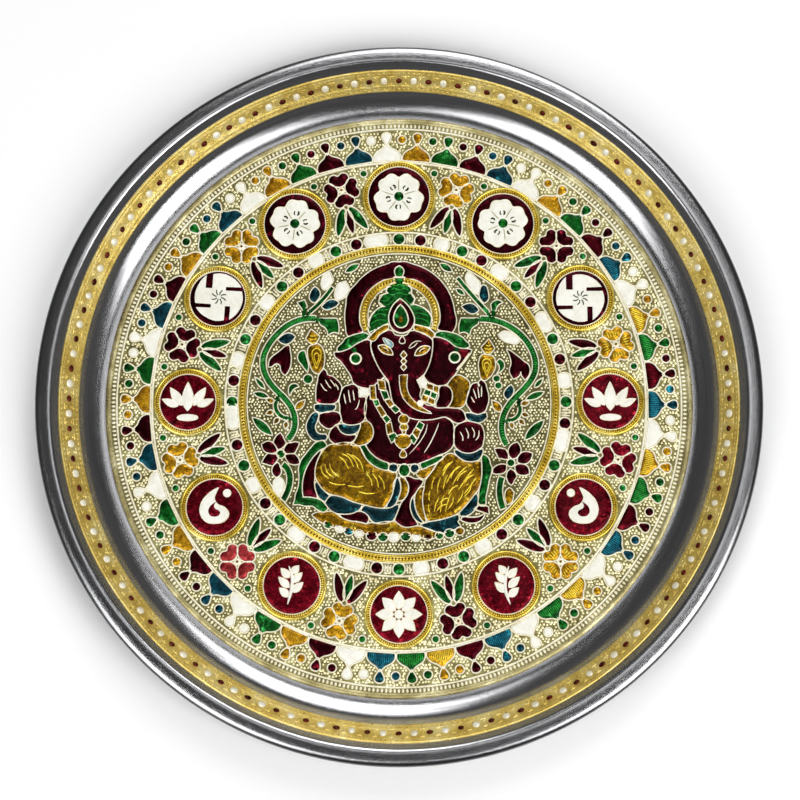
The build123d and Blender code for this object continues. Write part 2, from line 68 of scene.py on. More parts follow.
# Sizes of the looks
OUTER_START = (53.0, 60.0)  # the foil turns paler between these radii
PAINTED_EDGE_SHADE = (125.2, 126.6)  # the steel is painted darker between these radii, a painted dark reflection on the outer edge
SINK = 0.02  # how far trim reaches into what it lies on
ROW_SHARE = 0.866  # distance between the rows of a triangular grid, as a share of its pitch
MOTIF_BASE = FOIL_TOP + 0.35
ON_ENAMEL = FOIL_TOP + 0.45
SHOULDER = 0.35  # a fill's wall takes up this share of its height
EDGE_SHARE = 0.42  # inner points of a fill keep this share of its grain from the edge
TIP_SHARE = 0.25  # size of a tapered ridge at its tips
TIP_RISE = 3.0  # how fast a tapered ridge reaches its full size
MITRE = 0.55  # keeps sharp corners from running away when an outline grows


# Materials

def feed(tree, target, **inputs):
    """Gives inputs of a node a value or a link. Their names have underscores for spaces."""
    for name, value in inputs.items():
        socket = target.inputs[name.replace("_", " ")]
        if isinstance(value, bpy.types.NodeSocket):
            tree.links.new(value, socket)
        else:
            socket.default_value = value


def node(tree, kind, *sources, **values):
    """New node with links to its first inputs, in order, and with settings and inputs by name."""
    made = tree.nodes.new("ShaderNode" + kind)
    for name, value in values.items():
        if hasattr(made, name):
            setattr(made, name, value)
        else:
            feed(tree, made, **{name: value})
    for number, source in enumerate(sources):
        tree.links.new(source, made.inputs[number])
    return made


def new_material(name):
    material = bpy.data.materials.new(name)
    material.use_nodes = True
    tree = material.node_tree
    tree.nodes.clear()
    shader = node(tree, "BsdfPrincipled")
    node(tree, "OutputMaterial", Surface=shader.outputs["BSDF"])
    return material, tree, shader


def position(tree):
    """Place on the object in millimetres."""
    place = node(tree, "TexCoord").outputs["Object"]
    return node(tree, "VectorMath", place, operation="SCALE", Scale=1 / MILLIMETRE).outputs["Vector"]


def noise(tree, vector, scale, detail=3.0, roughness=0.6):
    made = node(tree, "TexNoise", Vector=vector, Scale=scale, Detail=detail, Roughness=roughness)
    return made.outputs["Fac"]


def ramp(tree, value, *stops):
    made = node(tree, "ValToRGB", value)
    elements = made.color_ramp.elements
    while len(elements) < len(stops):
        elements.new(0.5)
    for element, (at, colour) in zip(elements, stops):
        element.position = at
        element.color = (*colour, 1.0)
    return made.outputs["Color"]


def spread(tree, value, low, high, from_low=0.3, from_high=0.7):
    made = node(tree, "MapRange", value, From_Min=from_low, From_Max=from_high, To_Min=low, To_Max=high)
    return made.outputs["Result"]


def scaled(tree, colour, factor):
    return node(tree, "VectorMath", colour, operation="SCALE", Scale=factor).outputs["Vector"]


def radius_of(tree, vector):
    return node(tree, "VectorMath", vector, operation="LENGTH").outputs["Value"]


def mixed(tree, share, first, second):
    """Colour between two colours, which a mix node takes at its sockets 6 and 7."""
    made = node(tree, "Mix", share, data_type="RGBA")
    tree.links.new(first, made.inputs[6])
    made.inputs[7].default_value = (*second, 1.0)
    return made.outputs[2]


def bump(tree, shader, height, strength, depth):
    made = node(tree, "Bump", Height=height, Strength=strength, Distance=depth)
    feed(tree, shader, Normal=made.outputs["Normal"])


def enamel_material(name, deep, plain, painted_glint_colour, metal, shine=0.08, crinkle=0.7):
    """Coloured lacquer over crinkled foil, deep where it is thick. Patches of the bright colour are painted
    glints, a painted highlight where the foil would catch the light.
    """
    material, tree, shader = new_material(name)
    where = position(tree)
    cloud = ramp(tree, noise(tree, where, 0.25), (0.34, deep), (0.62, plain))
    # painted glints: a noise mask mixes in the bright colour as painted highlights
    painted_glint = spread(tree, noise(tree, where, 0.32, 2.0, 0.55), 0.0, 1.0, 0.62, 0.82)
    feed(
        tree, shader, Base_Color=mixed(tree, painted_glint, cloud, painted_glint_colour), Metallic=metal,
        Roughness=spread(tree, noise(tree, where, 0.9), 0.16, 0.34),
        Specular_IOR_Level=shine, Coat_Weight=shine, Coat_Roughness=0.08,
    )
    bump(tree, shader, noise(tree, where, 0.5, 3.0, 0.5), crinkle, 0.0007)
    return material


def foil_material(name, dark, plain, pale, metal, rough, grain, depth, outer=1.0):
    """Metallic foil with a fine uneven grain, paler by the factor outer beyond the field."""
    material, tree, shader = new_material(name)
    where = position(tree)
    colour = ramp(tree, noise(tree, where, 0.12, 5.0), (0.3, dark), (0.5, plain), (0.72, pale))
    paler = spread(tree, radius_of(tree, where), 1.0, outer, *OUTER_START)
    feed(
        tree, shader, Base_Color=scaled(tree, colour, paler), Metallic=metal,
        Roughness=spread(tree, noise(tree, where, 0.7), rough, rough + 0.15),
    )
    bump(tree, shader, noise(tree, where, grain, 4.0, 0.7), depth, 0.0003)
    return material


def steel_material():
    """Stainless steel with fine circular brushing, painted darker at its outer edge as a painted dark
    reflection.
    """
    material, tree, shader = new_material("steel")
    x, y, z = node(tree, "SeparateXYZ", position(tree)).outputs
    radius = radius_of(tree, node(tree, "CombineXYZ", x, y).outputs[0])
    turn = node(tree, "Math", y, x, operation="ARCTAN2").outputs[0]
    slow = node(tree, "Math", turn, operation="MULTIPLY")
    slow.inputs[1].default_value = 2.0
    polar_place = node(tree, "CombineXYZ", radius, slow.outputs[0], z).outputs[0]
    lines = noise(tree, polar_place, 7.0, 5.0, 0.75)
    greys = ((0.3, (0.36, 0.36, 0.37)), (0.5, (0.42, 0.42, 0.43)), (0.7, (0.48, 0.48, 0.49)))
    grey = ramp(tree, noise(tree, polar_place, 1.2), *greys)
    # the base colour is painted darker at the outer edge: a painted dark reflection
    feed(
        tree, shader, Base_Color=scaled(tree, grey, spread(tree, radius, 1.0, 0.3, *PAINTED_EDGE_SHADE)),
        Metallic=1.0, Roughness=spread(tree, lines, 0.09, 0.22), Anisotropic=0.55,
        Tangent=node(tree, "Tangent", direction_type="RADIAL", axis="Z").outputs["Tangent"],
    )
    bump(tree, shader, lines, 0.12, 0.0002)
    return material


# Dark, plain and pale colour, share of metal, roughness, grain and its depth, and the factor outer
FOILS = {
    "ground": ((0.06, 0.053, 0.018), (0.13, 0.115, 0.043), (0.30, 0.27, 0.115), 0.9, 0.22, 0.9, 0.8, 1.8),
    "stipple": ((0.72, 0.63, 0.33), (0.94, 0.87, 0.54), (0.98, 0.95, 0.72), 0.45, 0.2, 2.0, 0.25),
    "wire": ((0.82, 0.75, 0.52), (0.93, 0.88, 0.69), (0.98, 0.96, 0.83), 0.12, 0.2, 1.2, 0.3),
    "rope": ((0.34, 0.21, 0.01), (0.58, 0.40, 0.03), (0.92, 0.74, 0.18), 0.8, 0.2, 1.4, 0.25),
    "gilt": ((0.62, 0.45, 0.05), (0.86, 0.67, 0.11), (0.98, 0.88, 0.34), 0.75, 0.14, 0.8, 0.3),
    "band": ((0.62, 0.43, 0.09), (0.84, 0.64, 0.18), (0.96, 0.82, 0.38), 0.8, 0.24, 1.2, 0.6),
    "lip": ((0.26, 0.22, 0.09), (0.44, 0.38, 0.18), (0.80, 0.74, 0.46), 0.85, 0.24, 0.9, 0.7),
    "seam": ((0.20, 0.20, 0.05), (0.30, 0.29, 0.10), (0.42, 0.40, 0.18), 0.3, 0.35, 1.5, 0.2),
    "cream": ((0.76, 0.70, 0.52), (0.88, 0.84, 0.68), (0.96, 0.94, 0.84), 0.15, 0.25, 1.5, 0.3),
}
# Deep and plain colour, the bright colour of the painted glints and share of metal, then shine and crinkle
# where they differ
ENAMELS = {
    "maroon": ((0.014, 0.0004, 0.0014), (0.038, 0.001, 0.004), (0.36, 0.011, 0.038), 0.85, 0.03, 0.4),
    "red": ((0.06, 0.0012, 0.004), (0.15, 0.003, 0.010), (0.58, 0.03, 0.045), 0.8, 0.04, 0.8),
    "brown": ((0.04, 0.005, 0.003), (0.12, 0.016, 0.007), (0.30, 0.05, 0.02), 0.5),
    "rose": ((0.16, 0.009, 0.011), (0.34, 0.03, 0.032), (0.72, 0.19, 0.16), 0.5),
    "olive": ((0.02, 0.026, 0.004), (0.05, 0.06, 0.01), (0.20, 0.19, 0.05), 0.2),
    "green": ((0.001, 0.03, 0.0035), (0.0035, 0.10, 0.009), (0.06, 0.55, 0.11), 0.7),
    "leaf": ((0.012, 0.20, 0.022), (0.035, 0.38, 0.06), (0.30, 0.75, 0.30), 0.5),
    "teal": ((0.006, 0.10, 0.15), (0.015, 0.24, 0.33), (0.12, 0.55, 0.62), 0.4),
    "sky": ((0.05, 0.20, 0.28), (0.16, 0.40, 0.50), (0.55, 0.75, 0.80), 0.2),
    "blue": ((0.001, 0.010, 0.014), (0.003, 0.032, 0.040), (0.03, 0.38, 0.44), 0.7),
    "azure": ((0.001, 0.016, 0.024), (0.003, 0.056, 0.080), (0.03, 0.45, 0.55), 0.7),
    "amber": ((0.12, 0.052, 0.001), (0.30, 0.16, 0.003), (0.98, 0.74, 0.07), 0.85),
    "honey": ((0.27, 0.12, 0.003), (0.50, 0.27, 0.01), (0.98, 0.80, 0.14), 0.7),
    "yellow": ((0.80, 0.55, 0.03), (0.95, 0.76, 0.08), (0.98, 0.88, 0.26), 0.5),
    "white": ((0.80, 0.79, 0.68), (0.91, 0.90, 0.82), (0.97, 0.96, 0.91), 0.0),
}
MATERIALS = {"steel": steel_material()}
for name, look in FOILS.items():
    MATERIALS[name] = foil_material(name, *look)
for name, look in ENAMELS.items():
    MATERIALS[name] = enamel_material(name, *look)


# Geometry helpers, all in millimetres

class Shape:
    """Vertices and faces gathered for one piece."""

    def __init__(self):
        self.points = []
        self.faces = []

    def add(self, points, faces):
        start = len(self.points)
        self.points += points
        self.faces += [[corner + start for corner in face] for face in faces]

    def piece(self, name, material, slot, nodes=()):
        mesh = bpy.data.meshes.new(name)
        mesh.from_pydata([[at * MILLIMETRE for at in point] for point in self.points], [], self.faces)
        mesh.polygons.foreach_set("use_smooth", [True] * len(mesh.polygons))
        mesh.materials.append(MATERIALS[material])
        made = bpy.data.objects.new(name, mesh)
        bpy.context.scene.collection.objects.link(made)
        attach(made, "root")
        if nodes:
            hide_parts(*nodes)


def distance(a, b):
    return hypot(b[0] - a[0], b[1] - a[1])


def mix(a, b, share):
    return (a[0] + (b[0] - a[0]) * share, a[1] + (b[1] - a[1]) * share)


def polar(reach, angle, centre=(0.0, 0.0)):
    return (centre[0] + reach * cos(angle), centre[1] + reach * sin(angle))


def area(loop):
    return sum(a[0] * b[1] - b[0] * a[1] for a, b in zip(loop, loop[1:] + loop[:1])) / 2


def anticlockwise(loop):
    return loop if area(loop) > 0 else loop[::-1]


def middle(loop):
    return (sum(p[0] for p in loop) / len(loop), sum(p[1] for p in loop) / len(loop))


def node_loops(name):
    """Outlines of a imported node's top faces, anticlockwise."""
    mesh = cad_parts[name].data
    level = max(vertex.co.z for vertex in mesh.vertices) - 1e-5
    keys = {}

    def key(index):
        x, y, _ = mesh.vertices[index].co
        return keys.setdefault((round(x * 1e6), round(y * 1e6)), (x * 1000, y * 1000))

    edges = set()
    for face in mesh.polygons:
        if any(mesh.vertices[index].co.z <= level for index in face.vertices):
            continue
        corners = [key(index) for index in face.vertices]
        if geometry.area_tri(*[Vector((x, y, 0)) for x, y in corners[:3]]) < 1e-9:
            continue
        for one, two in zip(corners, corners[1:] + corners[:1]):
            if (two, one) in edges:
                edges.remove((two, one))
            else:
                edges.add((one, two))
    follows = dict(edges)
    loops = []
    while follows:
        start = next(iter(follows))
        loop = [start]
        here = follows.pop(start)
        while here != start:
            loop.append(here)
            here = follows.pop(here)
        loops.append(anticlockwise(loop))
    return sorted(loops)


def turning(before, here, after):
    first = atan2(here[1] - before[1], here[0] - before[0])
    second = atan2(after[1] - here[1], after[0] - here[0])
    return abs((degrees(second - first) + 180) % 360 - 180)


def tangent(before, here, after, span):
    """Direction of a smooth line at a point, as long as the stretch it serves."""
    back = distance(before, here) or 1.0
    ahead = distance(here, after) or 1.0
    way = [(here[k] - before[k]) / back * ahead + (after[k] - here[k]) / ahead * back for k in (0, 1)]
    length = hypot(*way) or 1.0
    return (way[0] / length * span, way[1] / length * span)


def soften(loop, sharp=62.0, steps=5):
    """Smooth outline through the points, with corners kept where it turns by more than an angle."""
    size = len(loop)
    kept = [turning(loop[i - 1], loop[i], loop[(i + 1) % size]) > sharp for i in range(size)]
    points = []
    for i in range(size):
        j = (i + 1) % size
        a = loop[i]
        b = loop[j]
        span = distance(a, b)
        straight = (b[0] - a[0], b[1] - a[1])
        leave = None if kept[i] else tangent(loop[i - 1], a, b, span)
        arrive = None if kept[j] else tangent(a, b, loop[(j + 1) % size], span)
        if not leave:
            leave = [2 * straight[k] - arrive[k] for k in (0, 1)] if arrive else straight
        if not arrive:
            arrive = [2 * straight[k] - leave[k] for k in (0, 1)]
        for step in range(steps):
            t = step / steps
            from_a = 2 * t ** 3 - 3 * t ** 2 + 1
            from_leave = t ** 3 - 2 * t ** 2 + t
            from_b = 3 * t ** 2 - 2 * t ** 3
            from_arrive = t ** 3 - t ** 2
            points.append(tuple(
                from_a * a[k] + from_leave * leave[k] + from_b * b[k] + from_arrive * arrive[k]
                for k in (0, 1)
            ))
    return thin(points)


def thin(loop, least=0.12):
    """Drops points that lie closer together than the least distance."""
    points = [loop[0]]
    for point in loop[1:]:
        if distance(points[-1], point) >= least:
            points.append(point)
    while len(points) > 3 and distance(points[-1], points[0]) < least:
        points.pop()
    return points


def divide(loop, longest, closed=True):
    """Adds points so that no stretch is longer than the given length."""
    points = []
    for a, b in zip(loop, loop[1:] + (loop[:1] if closed else [])):
        steps = max(1, math.ceil(distance(a, b) / longest))
        points += [mix(a, b, step / steps) for step in range(steps)]
    return points if closed else [*points, loop[-1]]


def heading(before, here, after):
    """Sum of the unit directions into and out of a point."""
    back = distance(before, here) or 1.0
    ahead = distance(here, after) or 1.0
    return [(here[k] - before[k]) / back + (after[k] - here[k]) / ahead for k in (0, 1)]


def beside(here, along, reach):
    """Point at a distance to the left of a place, seen along a direction."""
    length = hypot(*along) or 1.0
    return (here[0] - along[1] / length * reach, here[1] + along[0] / length * reach)


def grow(loop, amount):
    """Outline moved outwards by an amount."""
    points = []
    for i, here in enumerate(loop):
        before = loop[i - 1]
        along = heading(before, here, loop[(i + 1) % len(loop)])
        length = hypot(*along)
        if length < 0.2:  # the outline turns back on itself
            along = (here[0] - before[0], here[1] - before[1])
            length = 1.0
        points.append(beside(here, along, -amount / max(MITRE, length / 2)))
    return points


def curve(points, steps=6):
    """Smooth open line through the points."""
    ends = [points[0], *points, points[-1]]
    line = []
    for i in range(len(points) - 1):
        for step in range(steps):
            t = step / steps
            line.append(tuple(
                0.5 * (
                    2 * b + (c - a) * t + (2 * a - 5 * b + 4 * c - d) * t ** 2
                    + (3 * b - a - 3 * c + d) * t ** 3
                )
                for a, b, c, d in zip(*ends[i:i + 4])
            ))
    return [*line, points[-1]]


def turned(points, angle, centre=(0.0, 0.0)):
    """Points turned by degrees round the origin and moved to a centre."""
    c = cos(radians(angle))
    s = sin(radians(angle))
    return [(centre[0] + x * c - y * s, centre[1] + x * s + y * c) for x, y in points]


def spot(reach, angle, centre=(0.0, 0.0), across=0.0):
    """Place at a reach and an angle in degrees from a centre."""
    return turned([(reach, across)], angle, centre)[0]


def ellipse(centre, rx, ry=None, angle=0.0, count=20):
    ry = ry or rx
    points = [(rx * cos(2 * pi * k / count), ry * sin(2 * pi * k / count)) for k in range(count)]
    return turned(points, angle, centre)


def drop(centre, length, width, angle, count=18):
    """Drop whose point lies in the direction of the angle."""
    points = []
    for k in range(count):
        t = 2 * pi * k / count
        belly = (1 - 0.45 * cos(t)) * (abs(sin(t / 2)) ** 0.6)
        points.append((cos(t) * length / 2, sin(t) * width / 2 * belly))
    return turned(points, angle, centre)


def row_cuts(outline, y):
    """Places where a row crosses an outline, from left to right."""
    following = np.roll(outline, -1, axis=0)
    crossing = (outline[:, 1] > y) != (following[:, 1] > y)
    a = outline[crossing]
    b = following[crossing]
    return np.sort(a[:, 0] + (y - a[:, 1]) / (b[:, 1] - a[:, 1]) * (b[:, 0] - a[:, 0]))


def dome(shape, loop, base, height, rim=0.9, grain=0.95):
    """Swollen fill of an outline: a wall, a round shoulder and an almost flat top."""
    edge = divide(thin(loop), grain)
    outline = np.array(edge)
    along = np.roll(outline, -1, axis=0) - outline
    squares = np.maximum((along ** 2).sum(axis=1), 1e-12)
    low = outline.min(axis=0)
    high = outline.max(axis=0)
    inner = []
    depth = []
    for row in range(int((high[1] - low[1]) / (grain * ROW_SHARE)) + 2):
        y = low[1] + row * grain * ROW_SHARE
        cuts = row_cuts(outline, y)
        x = low[0] + (grain / 2 if row % 2 else 0.0)
        while x < high[0]:
            if np.searchsorted(cuts, x) % 2:
                gap = np.array([x, y]) - outline
                share = np.clip((gap * along).sum(axis=1) / squares, 0, 1)
                near = np.sqrt(((gap - along * share[:, None]) ** 2).sum(axis=1).min())
                if near > grain * EDGE_SHARE:
                    inner.append((x, y))
                    depth.append(near)
            x += grain
    count = len(edge)
    coords = [Vector(point) for point in edge + inner]
    sides = [(i, (i + 1) % count) for i in range(count)]
    points, _, faces, sources, _, _ = geometry.delaunay_2d_cdt(coords, sides, [], 1, 1e-6)
    shoulder = base + height * SHOULDER
    top = []
    for point, source in zip(points, sources):
        known = [index for index in source if index >= count]
        share = min(1.0, depth[known[0] - count] / rim) if known else 0.0
        top.append((point.x, point.y, shoulder + height * (1 - SHOULDER) * (1 - (1 - share) ** 2)))
    shape.add(top, [list(face) for face in faces])
    skirt = [(x, y, shoulder) for x, y in edge] + [(x, y, base - SINK) for x, y in edge]
    shape.add(skirt, [[i, i + count, after + count, after] for i, after in sides])


def strip(rows, size, closed=True):
    """Faces that join rows of points, each as long as size, to their neighbours."""
    faces = []
    for row in range(rows if closed else rows - 1):
        a = row * size
        b = (row + 1) % rows * size
        faces += [[a + k, b + k, b + k + 1, a + k + 1] for k in range(size - 1)]
    return faces


def flipped(faces):
    return [face[:1] + face[:0:-1] for face in faces]


WIRE_SECTION = ((-1.0, 0.0), (-0.72, 0.72), (0.0, 1.0), (0.72, 0.72), (1.0, 0.0))


def wire(shape, line, width, base, height, closed=True, taper=False):
    """Half-round ridge along a line."""
    size = len(line)
    points = []
    for i, here in enumerate(line):
        before = line[i - 1] if closed or i else here
        after = line[(i + 1) % size] if closed or i < size - 1 else here
        along = heading(before, here, after)
        share = 1.0
        if taper:
            share = min(1.0, TIP_SHARE + TIP_RISE * min(i, size - 1 - i) / max(1, size - 1))
        for across, up in WIRE_SECTION:
            x, y = beside(here, along, across * width / 2 * share)
            points.append((x, y, base - SINK + up * height * share))
    corners = len(WIRE_SECTION)
    faces = flipped(strip(size, corners, closed))
    if not closed:
        faces.append(list(range(corners))[::-1])
        faces.append([(size - 1) * corners + k for k in range(corners)])
    shape.add(points, faces)


def cushion_faces(sides):
    """Faces of a bump that has two rings of points and a top."""
    pairs = [(k, (k + 1) % sides) for k in range(sides)]
    faces = [[k, after, after + sides, k + sides] for k, after in pairs]
    return faces + [[k + sides, after + sides, 2 * sides] for k, after in pairs]


def bead(shape, centre, radius, base, height, sides=8, stretch=1.0, angle=0.0):
    """Small round bump with one shoulder ring."""
    points = []
    for share, up in ((1.0, -SINK), (0.68, 0.72 * height - SINK)):
        loop = ellipse(centre, radius * share * stretch, radius * share, degrees(angle), sides)
        points += [(x, y, base + up) for x, y in loop]
    shape.add([*points, (*centre, base + height)], cushion_faces(sides))


RING_SECTION = ((-1.0, 0.0), (-0.7, 0.72), (0.0, 1.0), (0.7, 0.72), (1.0, 0.0))
ROPE_SIDE = ((1.0, 0.0), (0.86, 0.62), (0.62, 0.55), (0.3, 0.95))
ROPE_SECTION = (*[(-across, up) for across, up in ROPE_SIDE], *ROPE_SIDE[::-1])
RIB_LIFTS = (0.25, 0.8, 1.0, 0.8)  # heights along one rib of a rope
RIB_SHARE = 0.6  # the ribs take up this share of a rope's width


def ring(shape, centre, radius, width, height, ribs=0, first=0.0, sweep=360.0, base=FOIL_TOP):
    """Raised ring or arc. With ribs, the middle of its back is cut into small cushions."""
    steps = ribs * len(RIB_LIFTS) if ribs else max(24, int(radius * radians(sweep) / 0.7))
    profile = ROPE_SECTION if ribs else RING_SECTION
    closed = sweep >= 360.0
    stations = steps if closed else steps + 1
    points = []
    for step in range(stations):
        angle = radians(first + sweep * step / steps)
        lift = RIB_LIFTS[step % len(RIB_LIFTS)] if ribs else 1.0
        for across, up in profile:
            rise = up * (lift if abs(across) < RIB_SHARE else 1.0)
            points.append((*polar(radius + across * width / 2, angle, centre), base - SINK + rise * height))
    shape.add(points, strip(stations, len(profile), closed))


# Steel dish

def wall_point(along, inward):
    """Radius and height of a place on the wall, by its way up the sheet and its way into the dish."""
    x = FLOOR_RADIUS + COVE_RADIUS * sin(WALL_ANGLE) + along * cos(WALL_ANGLE) - inward * sin(WALL_ANGLE)
    z = SHEET / 2 + COVE_RADIUS * (1 - cos(WALL_ANGLE)) + along * sin(WALL_ANGLE) + inward * cos(WALL_ANGLE)
    return (x, z)


STEEL_STEPS = 288
EASED_COVE = 12.0  # the pressed cove runs out softly, with the floor and the wall as tangents
COVE_STEPS = 12
ROLL_RADIUS = 3.0  # half the width of the flattened roll, on the middle of the sheet
ROLL_SHIFT = 0.8  # the roll's middle lies this much further along the wall
ROLL_POWER = 0.526  # below 1, the roll is flatter than a circle on its top and sides
ROLL_STEPS = 32


def flattened(angle, reach):
    """Point of a flattened circle."""
    return [math.copysign(abs(part) ** ROLL_POWER, part) * reach for part in (cos(angle), sin(angle))]


def sheet_side(inward):
    """One side of the sheet, from the floor to the end of the roll."""
    roll = wall_point(WALL_LENGTH + ROLL_SHIFT, -CURL_RADIUS)
    cove_start = FLOOR_RADIUS - (EASED_COVE - COVE_RADIUS) * math.tan(WALL_ANGLE / 2)
    points = [(60.0, SHEET / 2 + inward), (cove_start - 1.5, SHEET / 2 + inward)]
    for step in range(COVE_STEPS + 1):
        angle = -pi / 2 + WALL_ANGLE * step / COVE_STEPS
        points.append(polar(EASED_COVE - inward, angle, (cove_start, SHEET / 2 + EASED_COVE)))
    points += [wall_point(along, inward) for along in (3.0, 7.0, 11.0)]
    for step in range(ROLL_STEPS + 1):
        x, z = flattened(WALL_ANGLE + pi / 2 - CURL_SWEEP * step / ROLL_STEPS, ROLL_RADIUS + inward)
        points.append((roll[0] + x, roll[1] + z))
    return points


steel = Shape()
section = [(0.01, SHEET), *sheet_side(SHEET / 2), *sheet_side(-SHEET / 2)[::-1], (0.01, 0.0)]
for step in range(STEEL_STEPS):
    steel.points += [(*polar(radius, 2 * pi * step / STEEL_STEPS), z) for radius, z in section]
steel.faces = strip(STEEL_STEPS, len(section))
steel.piece("steel_dish", "steel", "steel", ["steel_plate"])


# Foil band on the wall, with a row of dots between scrolls

BAND_STEPS = 544
BAND_EDGE = -0.55  # the edges of the band go down to the sheet
BAND_PROFILE = (
    (0.0, BAND_EDGE), (0.0, 0.0), (0.35, 0.16), (0.75, 0.02), (1.4, 0.0), (1.8, 0.14), (2.2, 0.0), (4.4, 0.0),
    (6.6, 0.0), (7.0, 0.14), (7.4, 0.0), (8.05, 0.02), (8.45, 0.16), (8.8, 0.0), (8.8, BAND_EDGE),
)
BAND_WAVE = 0.1
WALL_DOTS = 136


def band_place(along, angle, lift):
    radius, z = wall_point(along, BAND_FACE + lift)
    return (*polar(radius, angle), z)


def wall_bead(shape, along, angle, half_along, half_round, height, sides=10):
    """Small bump on the band."""
    reach = wall_point(along, BAND_FACE)[0]
    points = []
    for share, up in ((1.0, 0.0), (0.7, 0.75)):
        for k in range(sides):
            t = 2 * pi * k / sides
            place = along + half_along * share * sin(t)
            turn = angle + half_round * share * cos(t) / reach
            points.append(band_place(place, turn, up * height - SINK))
    shape.add([*points, band_place(along, angle, height)], flipped(cushion_faces(sides)))


band = Shape()
for step in range(BAND_STEPS):
    angle = 2 * pi * step / BAND_STEPS
    for along, lift in BAND_PROFILE:
        wave = BAND_WAVE * sin(angle * WALL_DOTS) if 2.6 < along < 6.4 else 0.0
        band.points.append(band_place(BAND_START + along, angle, max(BAND_EDGE, lift + wave)))
band.faces = strip(BAND_STEPS, len(BAND_PROFILE))
band.piece("band_foil", "band", "gold_foil", ["wall_band"])

red_dots = Shape()
white_dots = Shape()
scrolls = Shape()
mid = BAND_START + BAND_WIDTH / 2
for k in range(WALL_DOTS):
    angle = 2 * pi * k / WALL_DOTS
    half_pitch = pi / WALL_DOTS
    if k % 2:
        wall_bead(white_dots, mid, angle, 1.45, 1.35 + chance.uniform(-0.2, 0.2), 0.4)
    else:
        wall_bead(red_dots, mid, angle, 1.05, 1.25 + chance.uniform(-0.15, 0.15), 0.45)
    for side in (-1, 1):
        wall_bead(scrolls, mid + side * 1.85, angle + half_pitch, 0.32, 1.5, 0.28, 6)
        wall_bead(scrolls, mid + side * 1.1, angle + half_pitch * 1.1, 0.5, 0.42, 0.26, 6)
        for part in range(3):
            wall_bead(scrolls, mid + side * 3.2, angle + 2 * half_pitch * part / 3, 0.3, 0.55, 0.22, 5)
red_dots.piece("band_dots_red", "brown", "enamel_maroon")
white_dots.piece("band_dots_white", "cream", "enamel_white")
scrolls.piece("band_scrolls", "band", "gold_foil")


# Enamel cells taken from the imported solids

FOIL_NODES = ("steel_plate", "foil_disc", "wall_band")
cells = {name: node_loops(name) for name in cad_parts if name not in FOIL_NODES}
blocked = []  # outlines, with a margin, where no stipple goes
wires = Shape()
fine = Shape()
enamels = {}


def enamel_shape(colour, name):
    return enamels.setdefault(name, (colour, Shape()))[1]


def rib(colour, name, line, width, base, height):
    """Ridge of lacquer that thins out at both ends."""
    wire(enamel_shape(colour, name), line, width, base, height, False, True)


GROOVE_WIDTH = 0.36
FILL_INSET = 0.05
OUTLINE_HEIGHT = 0.55
OUTLINE_STEP = 0.9
CELL_MARGIN = 0.85  # no stipple goes this close to a cell


def groove_shade_lines(centre, radius, width, base, count, first=0.0, sweep=360.0):
    """Painted shade: thin dark lines across a rope, between its ribs, where its grooves lie in shade."""
    for k in range(count):
        angle = radians(first + sweep * k / count)
        reaches = (radius - width / 2, radius, radius + width / 2)
        line = [polar(reach, angle, centre) for reach in reaches]
        rib("brown", "rope_grooves", line, GROOVE_WIDTH, base + 0.22, 0.3)


def cell(colour, name, loop, height=0.55, line=0.5):
    """One enamel fill with its raised outline."""
    dome(enamel_shape(colour, name), grow(loop, -FILL_INSET), FOIL_TOP, height)
    wire(wires, divide(grow(loop, line / 2 - SINK), OUTLINE_STEP), line, FOIL_TOP, OUTLINE_HEIGHT)
    blocked.append((loop, CELL_MARGIN))


def meet(loops, line=0.42, reach=2.6, most=0.95):
    """Outlines grown towards their neighbours until one outline's width is left between them."""
    loops = [divide(loop, 0.7) for loop in loops]
    owner = np.concatenate([np.full(len(loop), k) for k, loop in enumerate(loops)])
    points = np.concatenate([np.array(loop) for loop in loops])
    grown = []
    for k, loop in enumerate(loops):
        others = points[owner != k]
        own = np.array(loop)
        gap = np.sqrt(((own[:, None, :] - others[None, :, :]) ** 2).sum(axis=2).min(axis=1))
        room = np.clip((gap - line) / 2, 0.0, most)
        step = np.where(gap < reach, room, 0.15)
        for _ in range(4):
            step = np.minimum(room, (np.roll(step, 1) + step + np.roll(step, -1)) / 3)
        ahead = np.roll(own, -1, axis=0) - np.roll(own, 1, axis=0)
        length = np.maximum(np.hypot(ahead[:, 0], ahead[:, 1]), 1e-6)
        moved = own + np.stack([ahead[:, 1], -ahead[:, 0]], axis=1) / length[:, None] * step[:, None]
        grown.append([(float(x), float(y)) for x, y in moved])
    return grown


def colour_of(name):
    return name.rsplit("_", 1)[1]


field_names = [name for name in cells if name.startswith(("figure", "vine"))]
field_loops = [(name, soften(loop)) for name in field_names for loop in cells[name]]
for (name, drawn), loop in zip(field_loops, meet([loop for _, loop in field_loops])):
    if name == "vine_green":
        loop = grow(drawn, -0.22)
    cell(colour_of(name), name, loop, line=0.47)

# White gems that are wider than the rest: the angle of the solid, then the drawn angle and half width
WIDE_GEMS = {
    30: (29.2, 3.3), 53: (52.5, 2.7), 98: (98.0, 3.8), 188: (184.9, 4.2), 233: (232.5, 2.6),
    255: (254.6, 3.1), 345: (346.6, 3.7),
}
BAR_SIDE = ((-0.72, -1), (0, -1), (0.72, -1), (1, -0.55), (1, 0.55))
BAR_CORNERS = (*BAR_SIDE, *[(-along, -across) for along, across in BAR_SIDE])
GEM_HALF = 1.9
WHITE_GEM_HALF = 2.3
GEM_HALF_HEIGHT = 1.85
GEM_GAP = 0.75  # degrees kept free beside a gem


def bar_loop(radius, angle, half_round, half_height):
    """Rounded bar that follows a ring."""
    turns = degrees(half_round / radius)
    points = [
        polar(radius + across * half_height, radians(angle + along * turns)) for along, across in BAR_CORNERS
    ]
    return soften(anticlockwise(points), 100)


